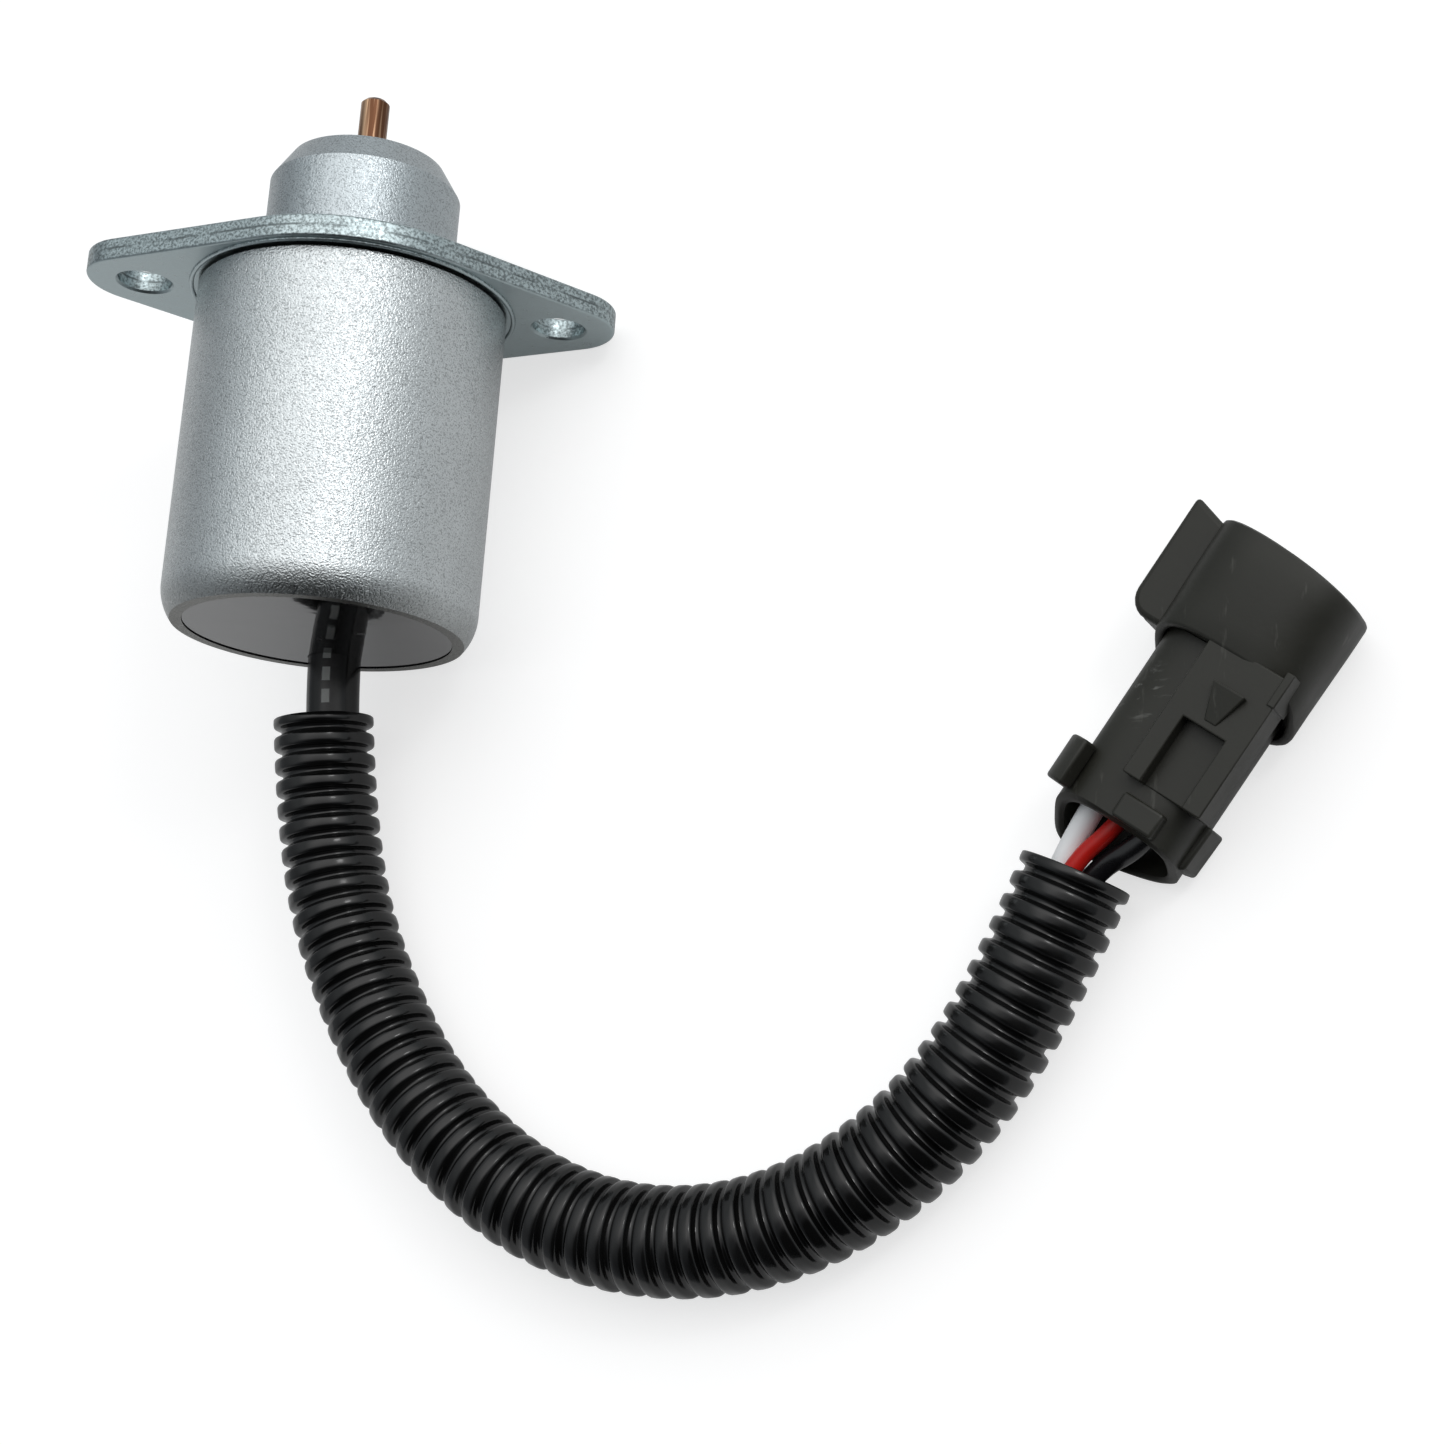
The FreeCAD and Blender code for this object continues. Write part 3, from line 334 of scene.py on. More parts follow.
def blasted_zinc(name, color, grain=1.0, shaded_gap=None):
    """Zinc plate over a fine blasted surface: even bright and dark grains, faint mottling.

    With a shaded gap, it is painted near black in front of that place, as shade in the gap to the
    flange, and painted darker, as shade, where the plate turns rearwards."""
    shader = Shader(name, color, 0.36, 1.0)
    fine = shader.noise(4200, 1.0, 0.5)
    coarse = shader.noise(1900, 2.0, 0.5)
    patches = shader.noise(110, 3.0, 0.6)
    tone = shader.mix(shader.ramp(patches, [(0.35, 0.0), (0.65, 1.0)]), scaled(color, 0.93), color)
    grains = shader.ramp(fine, [(0.36, 0.7), (0.47, 0.0)])
    skin = shader.mix(grains, tone, scaled(color, 0.45))
    if shaded_gap is not None:
        # Painted shade: near black where the case runs into the gap at the flange
        level = shader.share(shader.along_axis(shader.place), shaded_gap - GAP_SHADE_REACH, shaded_gap + GAP_SHADE_REACH)
        skin = shader.mix(shader.ramp(level, [(0.42, 0.0), (0.58, 1.0)]), skin, (0.02, 0.02, 0.02))
        # Painted shade: darker on faces that turn rearwards
        turned = shader.share(shader.facing(), -1.0, 0.0)
        rear_shade = shader.ramp(turned, [(0.10, 1.0), (0.35, 0.55), (0.75, 0.22), (0.95, 0.0)])
        skin = shader.mix(rear_shade, skin, (0.15, 0.15, 0.14))
    shader.into("Base Color", skin)
    shader.into("Roughness", shader.ramp(coarse, [(0.3, 0.25), (0.7, 0.38)]))
    low = shader.bump(coarse, 0.36 * grain, 0.00014)
    shader.into("Normal", shader.bump(fine, grain, 0.00010, low))
    return shader


def smooth_zinc(name, color):
    """Pressed zinc plate: smooth bluish faces, and a grained rim with a shear line round it."""
    shader = Shader(name, color, 0.34, 1.0)
    marks = shader.noise(700, 3.0, 0.6)
    grain = shader.noise(2600, 2.0, 0.6)
    face = shader.mix(shader.ramp(marks, [(0.3, 0.0), (0.7, 1.0)]), scaled(color, 0.88), color)
    rough = shader.mix(shader.ramp(grain, [(0.38, 0.0), (0.60, 1.0)]),
                       scaled(color, 0.38), scaled(color, 0.98))
    flat = shader.compute("ShaderNodeMath", "ABSOLUTE", shader.facing())
    rim = shader.ramp(flat.outputs[0], [(0.35, 1.0), (0.75, 0.0)])
    level = shader.share(shader.along_axis(shader.place), -FLANGE_THICK, 0.0)
    line = shader.ramp(level, [(0.44, 0.0), (0.49, 1.0), (0.53, 1.0), (0.58, 0.0)])
    gaps = shader.ramp(shader.noise(260, 3.0, 0.7), [(0.42, 0.15), (0.56, 0.9)])
    broken = shader.mix(1.0, line, gaps, "MULTIPLY")
    edge = shader.mix(broken, rough, scaled(color, 0.25))
    shader.into("Base Color", shader.mix(rim, face, edge))
    shader.into("Roughness", shader.ramp(marks, [(0.3, 0.26), (0.7, 0.40)]))
    shader.into("Normal", shader.bump(grain, 0.35, 0.0001))
    return shader


def scuffed(shader, tone, color, scuffs):
    """Pale streaks all over a moulding, and scratches across the rubbed patch."""
    streaks = shader.noise(420, 4.0, 0.75, (1.0, 0.16, 1.0))
    mask = shader.ramp(streaks, [(0.63, 0.0), (0.72, scuffs)])
    tone = shader.mix(mask, tone, scaled(color, 2.2, 0.03))
    across = shader.noise(1300, 3.0, 0.7, (0.10, 0.6, 1.0))
    near = shader.compute("ShaderNodeVectorMath", "DISTANCE", shader.place,
                          plug_frame @ (Vector(RUBBED_PLACE) * MM))
    reach = shader.share(near.outputs["Value"], 0.0, RUBBED_RADIUS)
    patch = shader.mix(1.0, shader.ramp(reach, [(0.2, 1.0), (1.0, 0.0)]),
                       shader.ramp(across, [(0.56, 0.0), (0.66, scuffs)]), "MULTIPLY")
    return shader.mix(patch, tone, (0.20, 0.20, 0.19))


def moulded(name, color, roughness, grain=0.12, scuffs=0.0, shine=0.5):
    """Moulded plastic: a fine skin, a little unevenness, and pale scuffs where asked for."""
    shader = Shader(name, color, roughness)
    shader.into("Specular IOR Level", shine)
    skin = shader.noise(1500, 3.0, 0.6)
    uneven = shader.noise(130, 3.0, 0.5)
    tone = shader.mix(shader.ramp(uneven, [(0.3, 0.0), (0.75, 1.0)]),
                      color, scaled(color, 1.25, 0.004))
    if scuffs:
        tone = scuffed(shader, tone, color, scuffs)
    shader.into("Base Color", tone)
    shader.into("Roughness",
                shader.ramp(uneven, [(0.3, roughness - 0.05), (0.7, roughness + 0.07)]))
    low = shader.bump(uneven, 0.15, 0.0003)
    shader.into("Normal", shader.bump(skin, grain, 0.0001, low))
    return shader


def sleeve_film(name):
    """Glossy shrunk film with a row of faint, generic dashes along one side.

    UV runs in millimetres along the sleeve and in shares of a turn round it."""
    black = (0.004, 0.004, 0.004)
    half_repeat = 1.5
    shader = moulded(name, black, 0.16, grain=0.04, shine=0.36)
    uv = shader.add("ShaderNodeSeparateXYZ", Vector=shader.add("ShaderNodeTexCoord").outputs["UV"])
    rhythm = shader.compute("ShaderNodeMath", "PINGPONG", uv.outputs["X"], half_repeat)
    along = shader.ramp(rhythm.outputs[0], [(0.55, 0.0), (0.62, 1.0)])
    around = shader.ramp(uv.outputs["Y"], [(0.925, 0.0), (0.93, 0.5), (0.975, 0.5), (0.98, 0.0)])
    dashes = shader.mix(1.0, along, around, "MULTIPLY")
    shader.into("Base Color", shader.mix(dashes, black, (0.50, 0.52, 0.50)))
    return shader


def coppered_rod(name):
    """Coppery steel with dark grooves along the rod."""
    shader = Shader(name, (0.50, 0.30, 0.20), 0.30, 1.0)
    grooves = shader.noise(1500, 2.0, 0.5, (1.0, 0.04, 1.0))
    shader.into("Base Color", shader.mix(shader.ramp(grooves, [(0.40, 0.0), (0.60, 1.0)]),
                                         (0.12, 0.055, 0.03), (0.62, 0.40, 0.25)))
    shader.into("Normal", shader.bump(grooves, 0.6, 0.0001))
    return shader


def potting_resin(name):
    """Poured black resin, smooth enough to mirror the sleeve, with a few dull specks."""
    shader = moulded(name, (0.010, 0.010, 0.010), 0.05, grain=0.01)
    specks = shader.noise(240, 1.0, 0.4)
    shader.into("Roughness", shader.ramp(specks, [(0.76, 0.045), (0.80, 0.6)]))
    shader.into("IOR", 2.8)
    return shader


def make_materials():
    """Every slot's material, by the construction's slot name."""
    shaders = {
        "zinc_case": blasted_zinc("zinc_case", (0.60, 0.635, 0.645), shaded_gap=GAP_SHADE_Y),
        "zinc_nose": blasted_zinc("zinc_nose", (0.46, 0.505, 0.525), grain=0.8),
        "zinc_flange": smooth_zinc("zinc_flange", (0.46, 0.54, 0.555)),
        "coppered_rod": coppered_rod("coppered_rod"),
        "potting_resin": potting_resin("potting_resin"),
        "sleeve_black": sleeve_film("sleeve_black"),
    }
    for name, (color, roughness) in METALS.items():
        shaders[name] = Shader(name, color, roughness, 1.0)
    for name, finish in MOULDINGS.items():
        shaders[name] = moulded(name, **finish)
    return {name: shader.material for name, shader in shaders.items()}


materials = make_materials()


def dress_nodes():
    """Give every solid of the construction its slot's material."""
    for name, piece in nodes.items():
        for holder in piece.material_slots:
            holder.material = materials[slot_of[name]]


def dress(piece, slot):
    """Give a piece its material and slot, and let it ride on the fixed body."""
    piece.data.materials.clear()
    piece.data.materials.append(materials[slot])
    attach(piece, "solenoid")


# Meshes

def link(name, data):
    item = bpy.data.objects.new(name, data)
    bpy.context.scene.collection.objects.link(item)
    return item


def link_mesh(name, mesh):
    """A finished bmesh as an object."""
    data = bpy.data.meshes.new(name)
    mesh.to_mesh(data)
    mesh.free()
    return link(name, data)


def smooth_piece(name, mesh, slot):
    """A finished bmesh as a smooth, dressed piece."""
    bmesh.ops.recalc_face_normals(mesh, faces=mesh.faces)
    piece = link_mesh(name, mesh)
    piece.data.shade_smooth()
    dress(piece, slot)
    return piece


def skin_over(mesh, loops, closed=False):
    """Faces between rings of vertices; closed joins the last ring to the first."""
    skin = []
    for row in range(len(loops) - (0 if closed else 1)):
        onward = (row + 1) % len(loops)
        for step in range(len(loops[row])):
            following = (step + 1) % len(loops[row])
            face = mesh.faces.new((loops[row][step], loops[row][following],
                                   loops[onward][following], loops[onward][step]))
            skin.append((face, row, onward, step))
    return skin


# Cords

def beside(route, sideways, upwards):
    """The route moved sideways, to the left of its heading, and upwards."""
    moved = []
    for index, place in enumerate(route):
        heading = (Vector(route[min(index + 1, len(route) - 1)])
                   - Vector(route[max(index - 1, 0)]))
        left = Vector((-heading.y, heading.x, 0)).normalized()
        moved.append(tuple(Vector(place) + left * sideways + Vector((0, 0, upwards))))
    return moved


def nurbs(name, route, radius=0.0):
    """A smooth curve with the route's points, given in millimetres, as control points."""
    data = bpy.data.curves.new(name, "CURVE")
    data.dimensions = "3D"
    spline = data.splines.new("NURBS")
    spline.points.add(len(route) - 1)
    for spot, place in zip(spline.points, route):
        spot.co = (*(Vector(place) * MM), 1.0)
    spline.order_u = 3
    spline.use_endpoint_u = True
    spline.resolution_u = CURVE_STEPS
    data.bevel_depth = radius
    data.bevel_resolution = CURVE_ROUNDNESS
    data.use_fill_caps = radius > 0
    return link(name, data)


def centreline(route):
    """Points along the smooth curve of a route."""
    guide = nurbs("guide", route)
    mesh = bpy.data.meshes.new_from_object(guide)
    line = [vertex.co.copy() for vertex in mesh.vertices]
    bpy.data.objects.remove(guide)
    bpy.data.meshes.remove(mesh)
    return line


def stations(line):
    """Running length at each point of a line."""
    reached = [0.0]
    for before, after in zip(line, line[1:]):
        reached.append(reached[-1] + (after - before).length)
    return reached


def frame_at(line, along):
    """Place, heading and upward side direction at a running length along a line."""
    reached = stations(line)
    index = max(i for i in range(len(line) - 1) if reached[i] <= along or i == 0)
    share = (along - reached[index]) / (reached[index + 1] - reached[index])
    runs = [line[i + 1] - line[i] for i in range(len(line) - 1)]
    here = runs[index].normalized()
    before = (runs[max(index - 1, 0)].normalized() + here).normalized()
    after = (runs[min(index + 1, len(runs) - 1)].normalized() + here).normalized()
    heading = before.lerp(after, share).normalized()
    side = (Vector((0, 0, 1)) - heading * heading.z).normalized()
    return line[index].lerp(line[index + 1], share), heading, side


def turns(count, shift=0.0):
    """Angles evenly round a circle."""
    return [2 * math.pi * (step + shift) / count for step in range(count)]


def swept(name, line, rings, segments, slot):
    """A mesh tube of (running length, radius) rings, out along its outside and back inside."""
    mesh = bmesh.new()
    uv = mesh.loops.layers.uv.new("UVMap")
    loops = []
    for along, radius in rings:
        place, heading, side = frame_at(line, along)
        across = heading.cross(side)
        loops.append([
            mesh.verts.new(place + (side * math.cos(angle) + across * math.sin(angle)) * radius)
            for angle in turns(segments)])
    for face, row, onward, step in skin_over(mesh, loops, closed=True):
        corners = ((row, step), (row, step + 1), (onward, step + 1), (onward, step))
        for loop, (at_row, at_step) in zip(face.loops, corners):
            loop[uv].uv = (rings[at_row][0] / MM, at_step / segments)
    return smooth_piece(name, mesh, slot)


def make_conduit():
    """Corrugated wall outside, plain bore inside, both ends cut open on a ridge."""
    line = centreline(CONDUIT_ROUTE)
    length = stations(line)[-1]
    count = round(length / PITCH)
    pitch = length / (count + CUT_SHARE)
    valley = CONDUIT_RADIUS - VALLEY_DEPTH
    rings = [(0.0, CONDUIT_BORE)]
    rings += [(along, CONDUIT_RADIUS - drop) for along, drop in CONDUIT_LIP]
    for ridge in range(count + 1):
        for share, rise in WAVE:
            along = (ridge + share - 0.5 + CUT_SHARE / 2) * pitch
            if END_SHARE * pitch < along < length - END_SHARE * pitch:
                rings.append((along, valley + VALLEY_DEPTH * rise))
    rings += [(length - along, CONDUIT_RADIUS - drop) for along, drop in reversed(CONDUIT_LIP)]
    rings.append((length, CONDUIT_BORE))
    for step in range(1, BORE_STEPS):
        rings.append((length * (1 - step / BORE_STEPS), CONDUIT_BORE))
    conduit = swept("conduit_tube", line, rings, CONDUIT_SEGMENTS, "conduit_black")
    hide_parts("conduit")
    return conduit, line, length


def make_leads():
    """The three wires, side by side along the bundle and into the plug: piece and route."""
    bundle = [Vector(place) for place in LEAD_ROUTE_START]
    bundle += beside(CONDUIT_ROUTE, BUNDLE_SIDEWAYS, BUNDLE_UPWARDS)[1:]
    leads = {}
    for name, lead in LEADS.items():
        route = beside(bundle, *lead["place"])
        for along in LEAD_ENDS:
            spot = plug_frame @ (Vector((along, lead["bore"], 0.0)) * MM)
            route.append(tuple(spot / MM))
        piece = nurbs(name.replace("wire", "lead"), route, lead["radius"])
        dress(piece, slot_of[name])
        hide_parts(name)
        leads[name] = (piece, route)
    return leads


def make_sleeve():
    """Shrunk sleeve from the potting into the conduit's mouth."""
    inside = Vector(beside(CONDUIT_ROUTE, BUNDLE_SIDEWAYS, BUNDLE_UPWARDS)[1])
    bend = Vector(LEAD_ROUTE_START[1])
    start = Vector((bend.x, SLEEVE_START_Y, bend.z))
    line = centreline([start, bend, (bend + inside) * 0.5])
    length = stations(line)[-1]
    shares = [step / SLEEVE_STEPS for step in range(SLEEVE_STEPS + 1)]
    rings = [(length * share, SLEEVE_RADIUS) for share in shares]
    rings += [(length * (1 - share), SLEEVE_RADIUS - SLEEVE_WALL) for share in shares]
    sleeve = swept("lead_sleeve", line, rings, SLEEVE_SEGMENTS, "sleeve_black")
    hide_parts("cable_sleeve")
    return sleeve


# Plug

def superellipse(left, right, top, bottom, power):
    """Rounded outline as (y, z) pairs."""
    outline = []
    for angle in turns(OUTLINE_STEPS, 0.5):
        across, upwards = math.cos(angle), math.sin(angle)
        outline.append((
            (left + right) / 2 + (left - right) / 2
            * math.copysign(abs(across) ** (2 / power), across),
            (top + bottom) / 2 + (top - bottom) / 2
            * math.copysign(abs(upwards) ** (2 / power), upwards)))
    return outline


def neck_outline(inset):
    """The neck's section, drawn in all round by the inset."""
    return superellipse(NECK["left"] - inset, NECK["right"] + inset,
                        NECK["top"] - inset, NECK["bottom"] + inset, NECK["power"])


def loft(mesh, rings, closed=False):
    """Skin over rings of equal count, in millimetres in the plug's frame, capped unless closed."""
    loops = [[mesh.verts.new(plug_frame @ (Vector(place) * MM)) for place in ring]
             for ring in rings]
    skin_over(mesh, loops, closed)
    if not closed:
        mesh.faces.new(loops[0])
        mesh.faces.new(loops[-1])


def prism(mesh, outline, low, high):
    """A plan outline of (x, y) pairs carried from low to high."""
    loft(mesh, [[(x, y, z) for x, y in outline] for z in (low, high)])


def block(mesh, along, across, heights):
    """A box between two places each way."""
    prism(mesh, [(along[0], across[0]), (along[1], across[0]), (along[1], across[1]),
                 (along[0], across[1])], *heights)


def cut_block(piece, along, across, heights):
    """Take a box out of a piece, with what its modifiers make of it."""
    mesh = bmesh.new()
    block(mesh, along, across, heights)
    bmesh.ops.recalc_face_normals(mesh, faces=mesh.faces)
    cutter = link_mesh("cutter", mesh)
    cut = piece.modifiers.new("cut", "BOOLEAN")
    cut.object = cutter
    cut.solver = "EXACT"
    final = bpy.data.meshes.new_from_object(
        piece.evaluated_get(bpy.context.evaluated_depsgraph_get()))
    piece.modifiers.clear()
    piece.data = final
    bpy.data.objects.remove(cutter)
    mesh = bmesh.new()
    mesh.from_mesh(final)
    bmesh.ops.remove_doubles(mesh, verts=mesh.verts, dist=WELD_DISTANCE)
    bmesh.ops.dissolve_degenerate(mesh, edges=mesh.edges, dist=WELD_DISTANCE)
    mesh.to_mesh(final)
    mesh.free()


def plug_piece(name, mesh, bevel=0.0):
    """A moulded piece of the plug, its edges sharp or with a bevel in millimetres."""
    piece = smooth_piece(name, mesh, "plug_plastic")
    piece.data.set_sharp_from_angle(angle=SHARP_ANGLE)
    if bevel:
        soften = piece.modifiers.new("soft_edges", "BEVEL")
        soften.width = bevel * MM
        soften.segments = BEVEL_SEGMENTS
        soften.limit_method = "ANGLE"
        soften.angle_limit = SHARP_ANGLE
    return piece


def hood_ring(share, inset):
    """A section of the hood between its leaning rear edge and its bowed mouth."""
    middle, half = HOOD["middle"], HOOD["half_width"] - inset
    ring = []
    for y, z in superellipse(middle + half, middle - half, 1.0, -1.0, HOOD["power"]):
        rear = HOOD["rear"] + HOOD["lean"] * z * HOOD["rear_height"]
        mouth = HOOD["mouth"] + HOOD["skew"] * y - HOOD["bow"] * y * y
        x = rear + (mouth - rear) * share
        rise = min(max((x - HOOD["rise_start"]) / HOOD["rise_length"], 0.0), 1.0)
        rise = rise * rise * (3 - 2 * rise)
        height = HOOD["rear_height"] + (HOOD["front_height"] - HOOD["rear_height"]) * rise
        ring.append((x, y, z * (height - inset)))
    return ring


def make_hood():
    """Hood with a crowned top, a bowed mouth and a leaning rear arch, over a round neck."""
    mesh = bmesh.new()
    rings = [hood_ring(share, inset) for share, inset in HOOD_RINGS]
    floor = hood_ring(HOOD["floor_share"], HOOD["wall"])
    rings.append([(HOOD["floor"], y, z) for x, y, z in floor])
    loft(mesh, rings)
    rear_face = [(NECK["recess"], NECK["wall"]), (0.0, NECK["wall"]), (0.0, 0.0)]
    loft(mesh, [[(x, y, z) for y, z in neck_outline(inset)]
                for x, inset in rear_face + [(NECK["front"], 0.0)]])
    hood = plug_piece("plug_hood", mesh)
    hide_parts("connector_housing")
    return hood


def make_clip_seat():
    """Plateau with a pocket open to the rear, a rail along its right side and a ramp."""
    mesh = bmesh.new()
    left, right = CLIP_SEAT["left"], CLIP_SEAT["right"]
    rear, front = CLIP_SEAT["rear"], CLIP_SEAT["front"]
    foot, top, pocket = CLIP_SEAT["foot"], CLIP_SEAT["top"], CLIP_SEAT["pocket_front"]
    inner_left, inner_right = left - CLIP_SEAT["rim"], right + CLIP_SEAT["rim"]
    prism(mesh, [(rear, inner_left), (pocket, inner_left), (pocket, inner_right),
                 (rear, inner_right), (rear, right), (front, right), (front, left),
                 (rear, left)], foot, top)
    block(mesh, (rear + POCKET_BACK, pocket + POCKET_UNDER),
          (inner_right - POCKET_UNDER, inner_left + POCKET_UNDER),
          (foot + POCKET_LIFT, CLIP_SEAT["pocket_floor"]))
    block(mesh, (RAIL["rear"], RAIL["front"]),
          (right - RAIL["outside"], right + RAIL["inside"]), (RAIL["foot"], top + RAIL["rise"]))
    loft(mesh, [[(along, low, top - RAMP_ROOT), (along, high, top - RAMP_ROOT),
                 (along, high, top + rise), (along, low, top + rise)]
                for along, low, high, rise in RAMP])
    return plug_piece("plug_seat", mesh, CLIP_SEAT["bevel"])


def make_shroud():
    """Latch shroud at the hood's left, round at its outer rear corner, with a slot there."""
    mesh = bmesh.new()
    radius, steps = SHROUD["round"], SHROUD["round_steps"]
    quarter = [math.pi / 2 * step / steps for step in range(steps + 1)]
    bend = [(SHROUD["rear"] + radius * (1 - math.cos(turn)),
             SHROUD["side"] - radius * (1 - math.sin(turn))) for turn in quarter]
    prism(mesh, [(SHROUD["rear"], SHROUD["root"])] + bend
          + [(SHROUD["front"], SHROUD["side"]), (SHROUD["front_root"], SHROUD["front_bend"]),
             (SHROUD["front_root"], SHROUD["root"])], SHROUD["bottom"], SHROUD["top"])
    shroud = plug_piece("latch_shroud", mesh, SHROUD["bevel"])
    cut_block(shroud, *LATCH_SLOT)
    return shroud


def make_skirt():
    """The retainer's round skirt, whose end slopes rearwards to its bottom."""
    mesh = bmesh.new()
    rings = []
    for inset, share in SKIRT_RINGS:
        ring = []
        for y, z in neck_outline(inset):
            slope = (NECK["top"] - z) / (NECK["top"] - NECK["bottom"])
            reach = SKIRT["least"] + SKIRT["more"] * slope * (SKIRT["share"] + SKIRT["tilt"] * y)
            ring.append((-reach * share, y, z))
        rings.append(ring)
    loft(mesh, rings, closed=True)
    skirt = plug_piece("retainer_skirt", mesh)
    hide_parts("rear_retainer")
    return skirt


def make_clips():
    """The retainer's wrapped left clip, its right clip and the tab on its top."""
    mesh = bmesh.new()
    middle, height = LEFT_CLIP["centre"]
    steps = list(range(LEFT_CLIP["steps"] + 1))
    wrap = [(middle + LEFT_CLIP["outer"], LEFT_CLIP["foot"])]
    for radius, order in ((LEFT_CLIP["outer"], steps), (LEFT_CLIP["inner"], steps[::-1])):
        for step in order:
            angle = math.radians(LEFT_CLIP["step_degrees"] * step)
            wrap.append((middle + radius * math.cos(angle), height + radius * math.sin(angle)))
    wrap.append((middle + LEFT_CLIP["inner"], LEFT_CLIP["foot"]))
    loft(mesh, [[(x, y, z) for y, z in wrap] for x in (LEFT_CLIP["rear"], LEFT_CLIP["front"])])
    prism(mesh, RIGHT_CLIP, *RIGHT_CLIP_HEIGHTS)
    block(mesh, *TOP_TAB)
    return plug_piece("retainer_clips", mesh, CLIP_BEVEL)


# Solenoid

def make_spring():
    """Return spring: a coil that fills the box of the construction's spring."""
    low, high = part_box("return_spring")
    middle = [(low[axis] + high[axis]) / 2 for axis in (0, 2)]
    start, length = low[1] + SPRING_WIRE, high[1] - low[1] - 2 * SPRING_WIRE
    count = SPRING_TURNS * SPRING_STEPS
    mesh = bmesh.new()
    loops = []
    for step in range(count + 1):
        turn = 2 * math.pi * step / SPRING_STEPS
        loop = []
        for angle in turns(SPRING_SEGMENTS):
            reach = SPRING_RADIUS + SPRING_WIRE * math.cos(angle)
            height = start + length * step / count + SPRING_WIRE * math.sin(angle)
            loop.append(mesh.verts.new((middle[0] + reach * math.cos(turn), height,
                                        middle[1] + reach * math.sin(turn))))
        loops.append(loop)
    skin_over(mesh, loops)
    mesh.faces.new(loops[0])
    mesh.faces.new(loops[-1])
    spring = smooth_piece("spring_coil", mesh, "spring_steel")
    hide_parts("return_spring")
    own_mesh(spring)


def make_flange_lip():
    """Thin bright bead on the flange's rear face, round the foot of the case."""
    mesh = bmesh.new()
    loops = []
    for angle in turns(LIP_STEPS):
        outward = Vector((math.cos(angle), 0, math.sin(angle)))
        place = outward * LIP_RADIUS + Vector((0, LIP_Y, 0))
        loops.append([mesh.verts.new(place + outward * (LIP_HALF_WIDTH * math.cos(turn))
                                     + Vector((0, LIP_HEIGHT * math.sin(turn), 0)))
                      for turn in turns(LIP_SEGMENTS)])
    skin_over(mesh, loops, closed=True)
    smooth_piece("flange_lip", mesh, "zinc_flange")


# Stage, light and camera

def straight_rays(tree):
    """1 for camera rays, and a share of that for glossy and transmission rays."""
    rays = tree.add("ShaderNodeLightPath")
    total = rays.outputs["Is Camera Ray"]
    for kind in ("Is Glossy Ray", "Is Transmission Ray"):
        added = tree.compute("ShaderNodeMath", "MULTIPLY_ADD", rays.outputs[kind],
                             MIRRORED_SHARE, total)
        added.use_clamp = True
        total = added.outputs[0]
    return total


def make_table():
    """White table that keeps the object's shadow."""
    mesh = bmesh.new()
    bmesh.ops.create_grid(mesh, x_segments=1, y_segments=1, size=TABLE_REACH)
    table = link_mesh("table", mesh)
    table.location.z = TABLE_Z
    material = bpy.data.materials.new("table_white")
    material.use_nodes = True
    tree = Nodes(material.node_tree)
    tree.nodes.clear()
    white = tree.add("ShaderNodeBsdfDiffuse", Color=TABLE_WHITE)
    seen = tree.add("ShaderNodeBsdfDiffuse", Color=TABLE_SEEN)
    glow = tree.add("ShaderNodeEmission", Strength=TABLE_GLOW)
    both = tree.add("ShaderNodeAddShader")
    tree.feed(both, 0, seen.outputs[0])
    tree.feed(both, 1, glow.outputs[0])
    mixed = tree.choose(straight_rays(tree), white, both)
    tree.add("ShaderNodeOutputMaterial", Surface=mixed.outputs[0])
    table.data.materials.append(material)


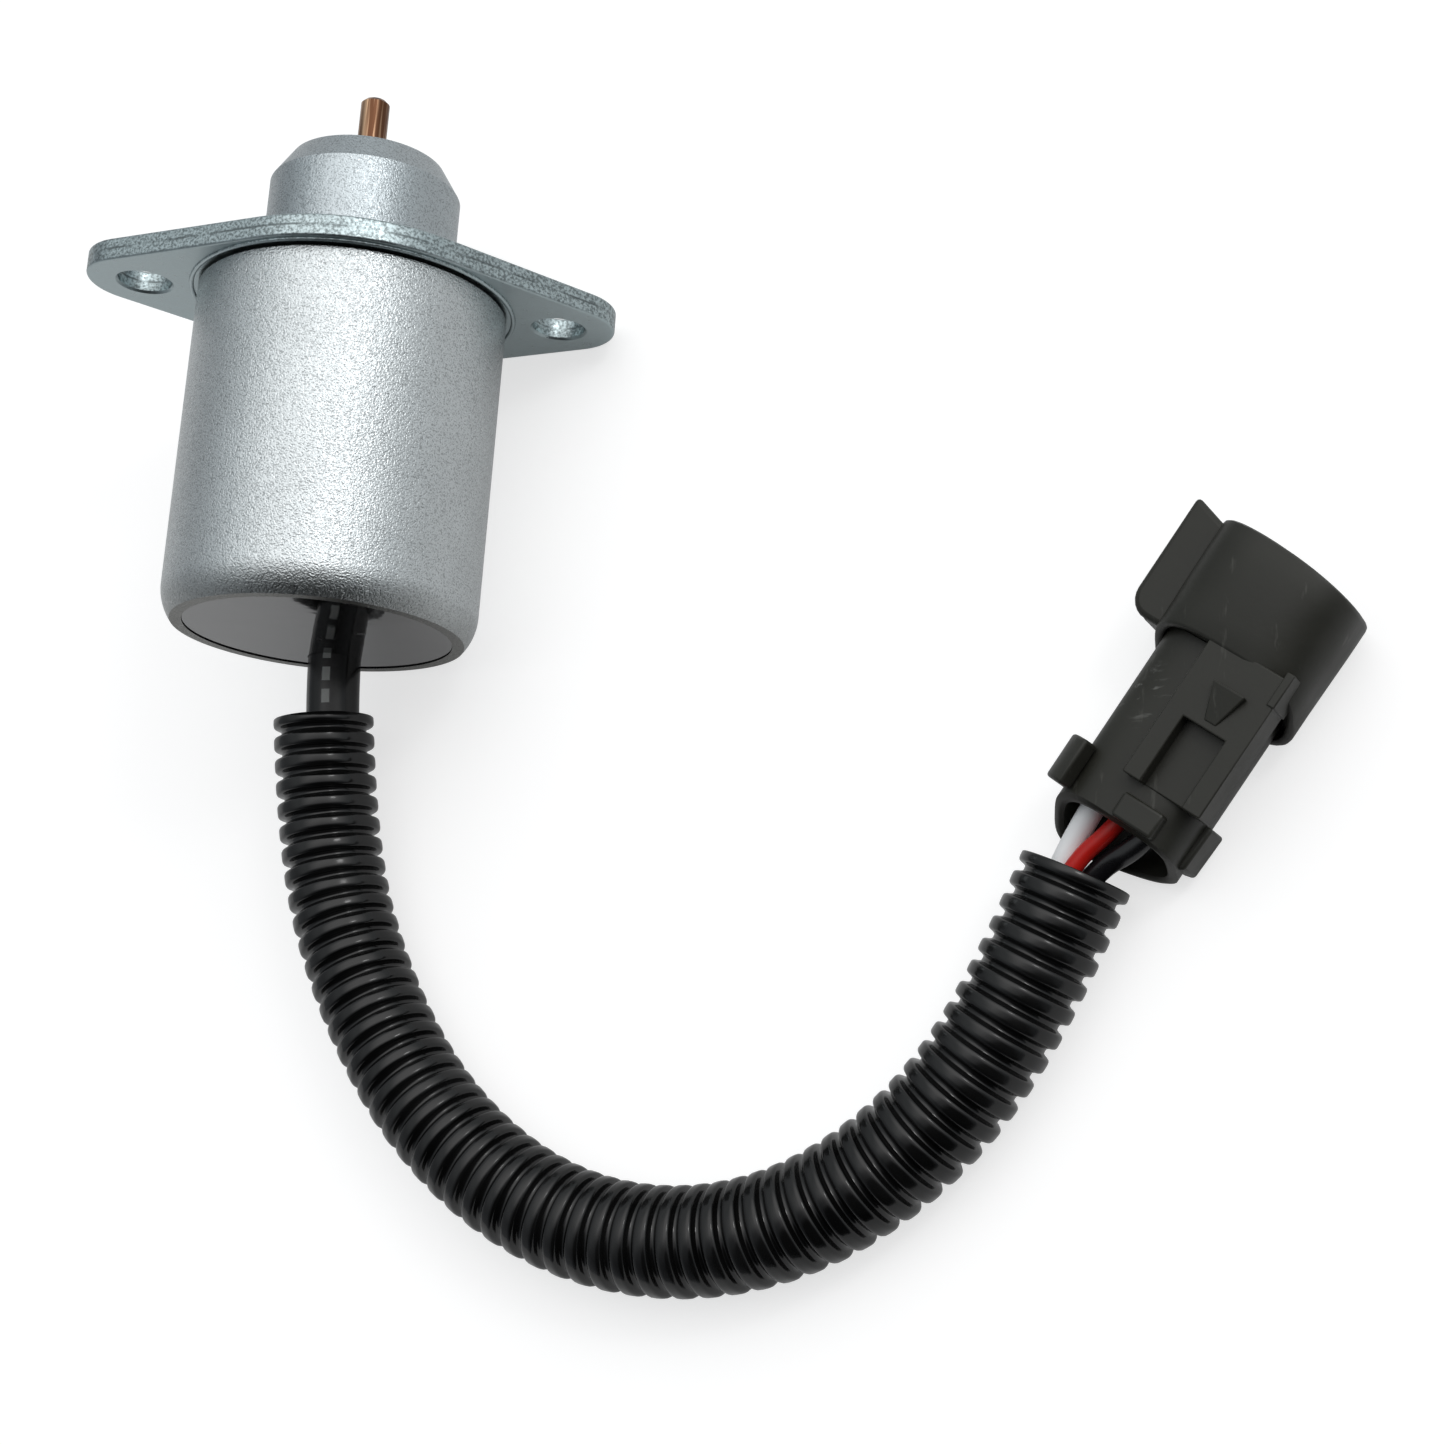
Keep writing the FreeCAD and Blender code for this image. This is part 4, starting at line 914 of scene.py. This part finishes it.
def make_room():
    """World that is white to the camera and shaded by two directions for all other rays."""
    world = bpy.data.worlds.new("studio")
    bpy.context.scene.world = world
    world.use_nodes = True
    tree = Nodes(world.node_tree)
    tree.nodes.clear()
    place = tree.add("ShaderNodeTexCoord").outputs["Generated"]
    shades = []
    for direction, stops in ((BRIGHT_SIDE, BRIGHT_STOPS), (DARK_SIDE, DARK_STOPS)):
        toward = tree.compute("ShaderNodeVectorMath", "DOT_PRODUCT", place,
                              Vector(direction).normalized())
        shades.append(tree.ramp(toward.outputs["Value"], stops, "EASE"))
    both = tree.compute("ShaderNodeVectorMath", "MULTIPLY", *shades)
    room = tree.add("ShaderNodeBackground", Color=both.outputs["Vector"], Strength=SKY_STRENGTH)
    white = tree.add("ShaderNodeBackground", Color=(1, 1, 1, 1))
    rays = tree.add("ShaderNodeLightPath")
    mixed = tree.choose(rays.outputs["Is Camera Ray"], room, white)
    tree.add("ShaderNodeOutputWorld", Surface=mixed.outputs[0])


def make_lamp():
    """One small area lamp, pointed at its target."""
    lamp = bpy.data.lights.new("key", "AREA")
    lamp.shape = "RECTANGLE"
    lamp.size = LAMP_WIDTH
    lamp.size_y = LAMP_HEIGHT
    lamp.energy = LAMP_POWER
    way = LAMP_DIRECTION.normalized()
    item = link("key", lamp)
    item.location = LAMP_TARGET + way * LAMP_DISTANCE
    item.rotation_euler = (-way).to_track_quat("-Z", "Y").to_euler()


def make_camera():
    """Camera placed, pointed and rolled as in the photograph."""
    data = bpy.data.cameras.new("camera")
    data.lens = CAMERA_LENS
    data.sensor_width = CAMERA_SENSOR
    data.clip_start = CAMERA_CLIP
    camera = link("camera", data)
    camera.location = CAMERA_PLACE
    heading = (CAMERA_TARGET - CAMERA_PLACE).to_track_quat("-Z", "Y")
    camera.rotation_mode = "QUATERNION"
    camera.rotation_quaternion = heading @ Quaternion((0, 0, 1), -CAMERA_ROLL)
    bpy.context.scene.camera = camera


make_camera()
dress_nodes()
make_table()
make_room()
make_lamp()

conduit, conduit_line, conduit_length = make_conduit()
leads = make_leads()
sleeve = make_sleeve()
make_flange_lip()
make_spring()
hood = make_hood()
clip_seat = make_clip_seat()
shroud = make_shroud()
plug_pieces = [hood, shroud, clip_seat, make_skirt(), make_clips()]

for index, (name, lead) in enumerate(LEADS.items(), start=1):
    on_end = [nodes["wire_seal_%d" % index], nodes["terminal_pin_%d" % index]]
    if name == "white_wire":
        on_end += plug_pieces

bpy.context.scene.view_settings.view_transform = "Standard"
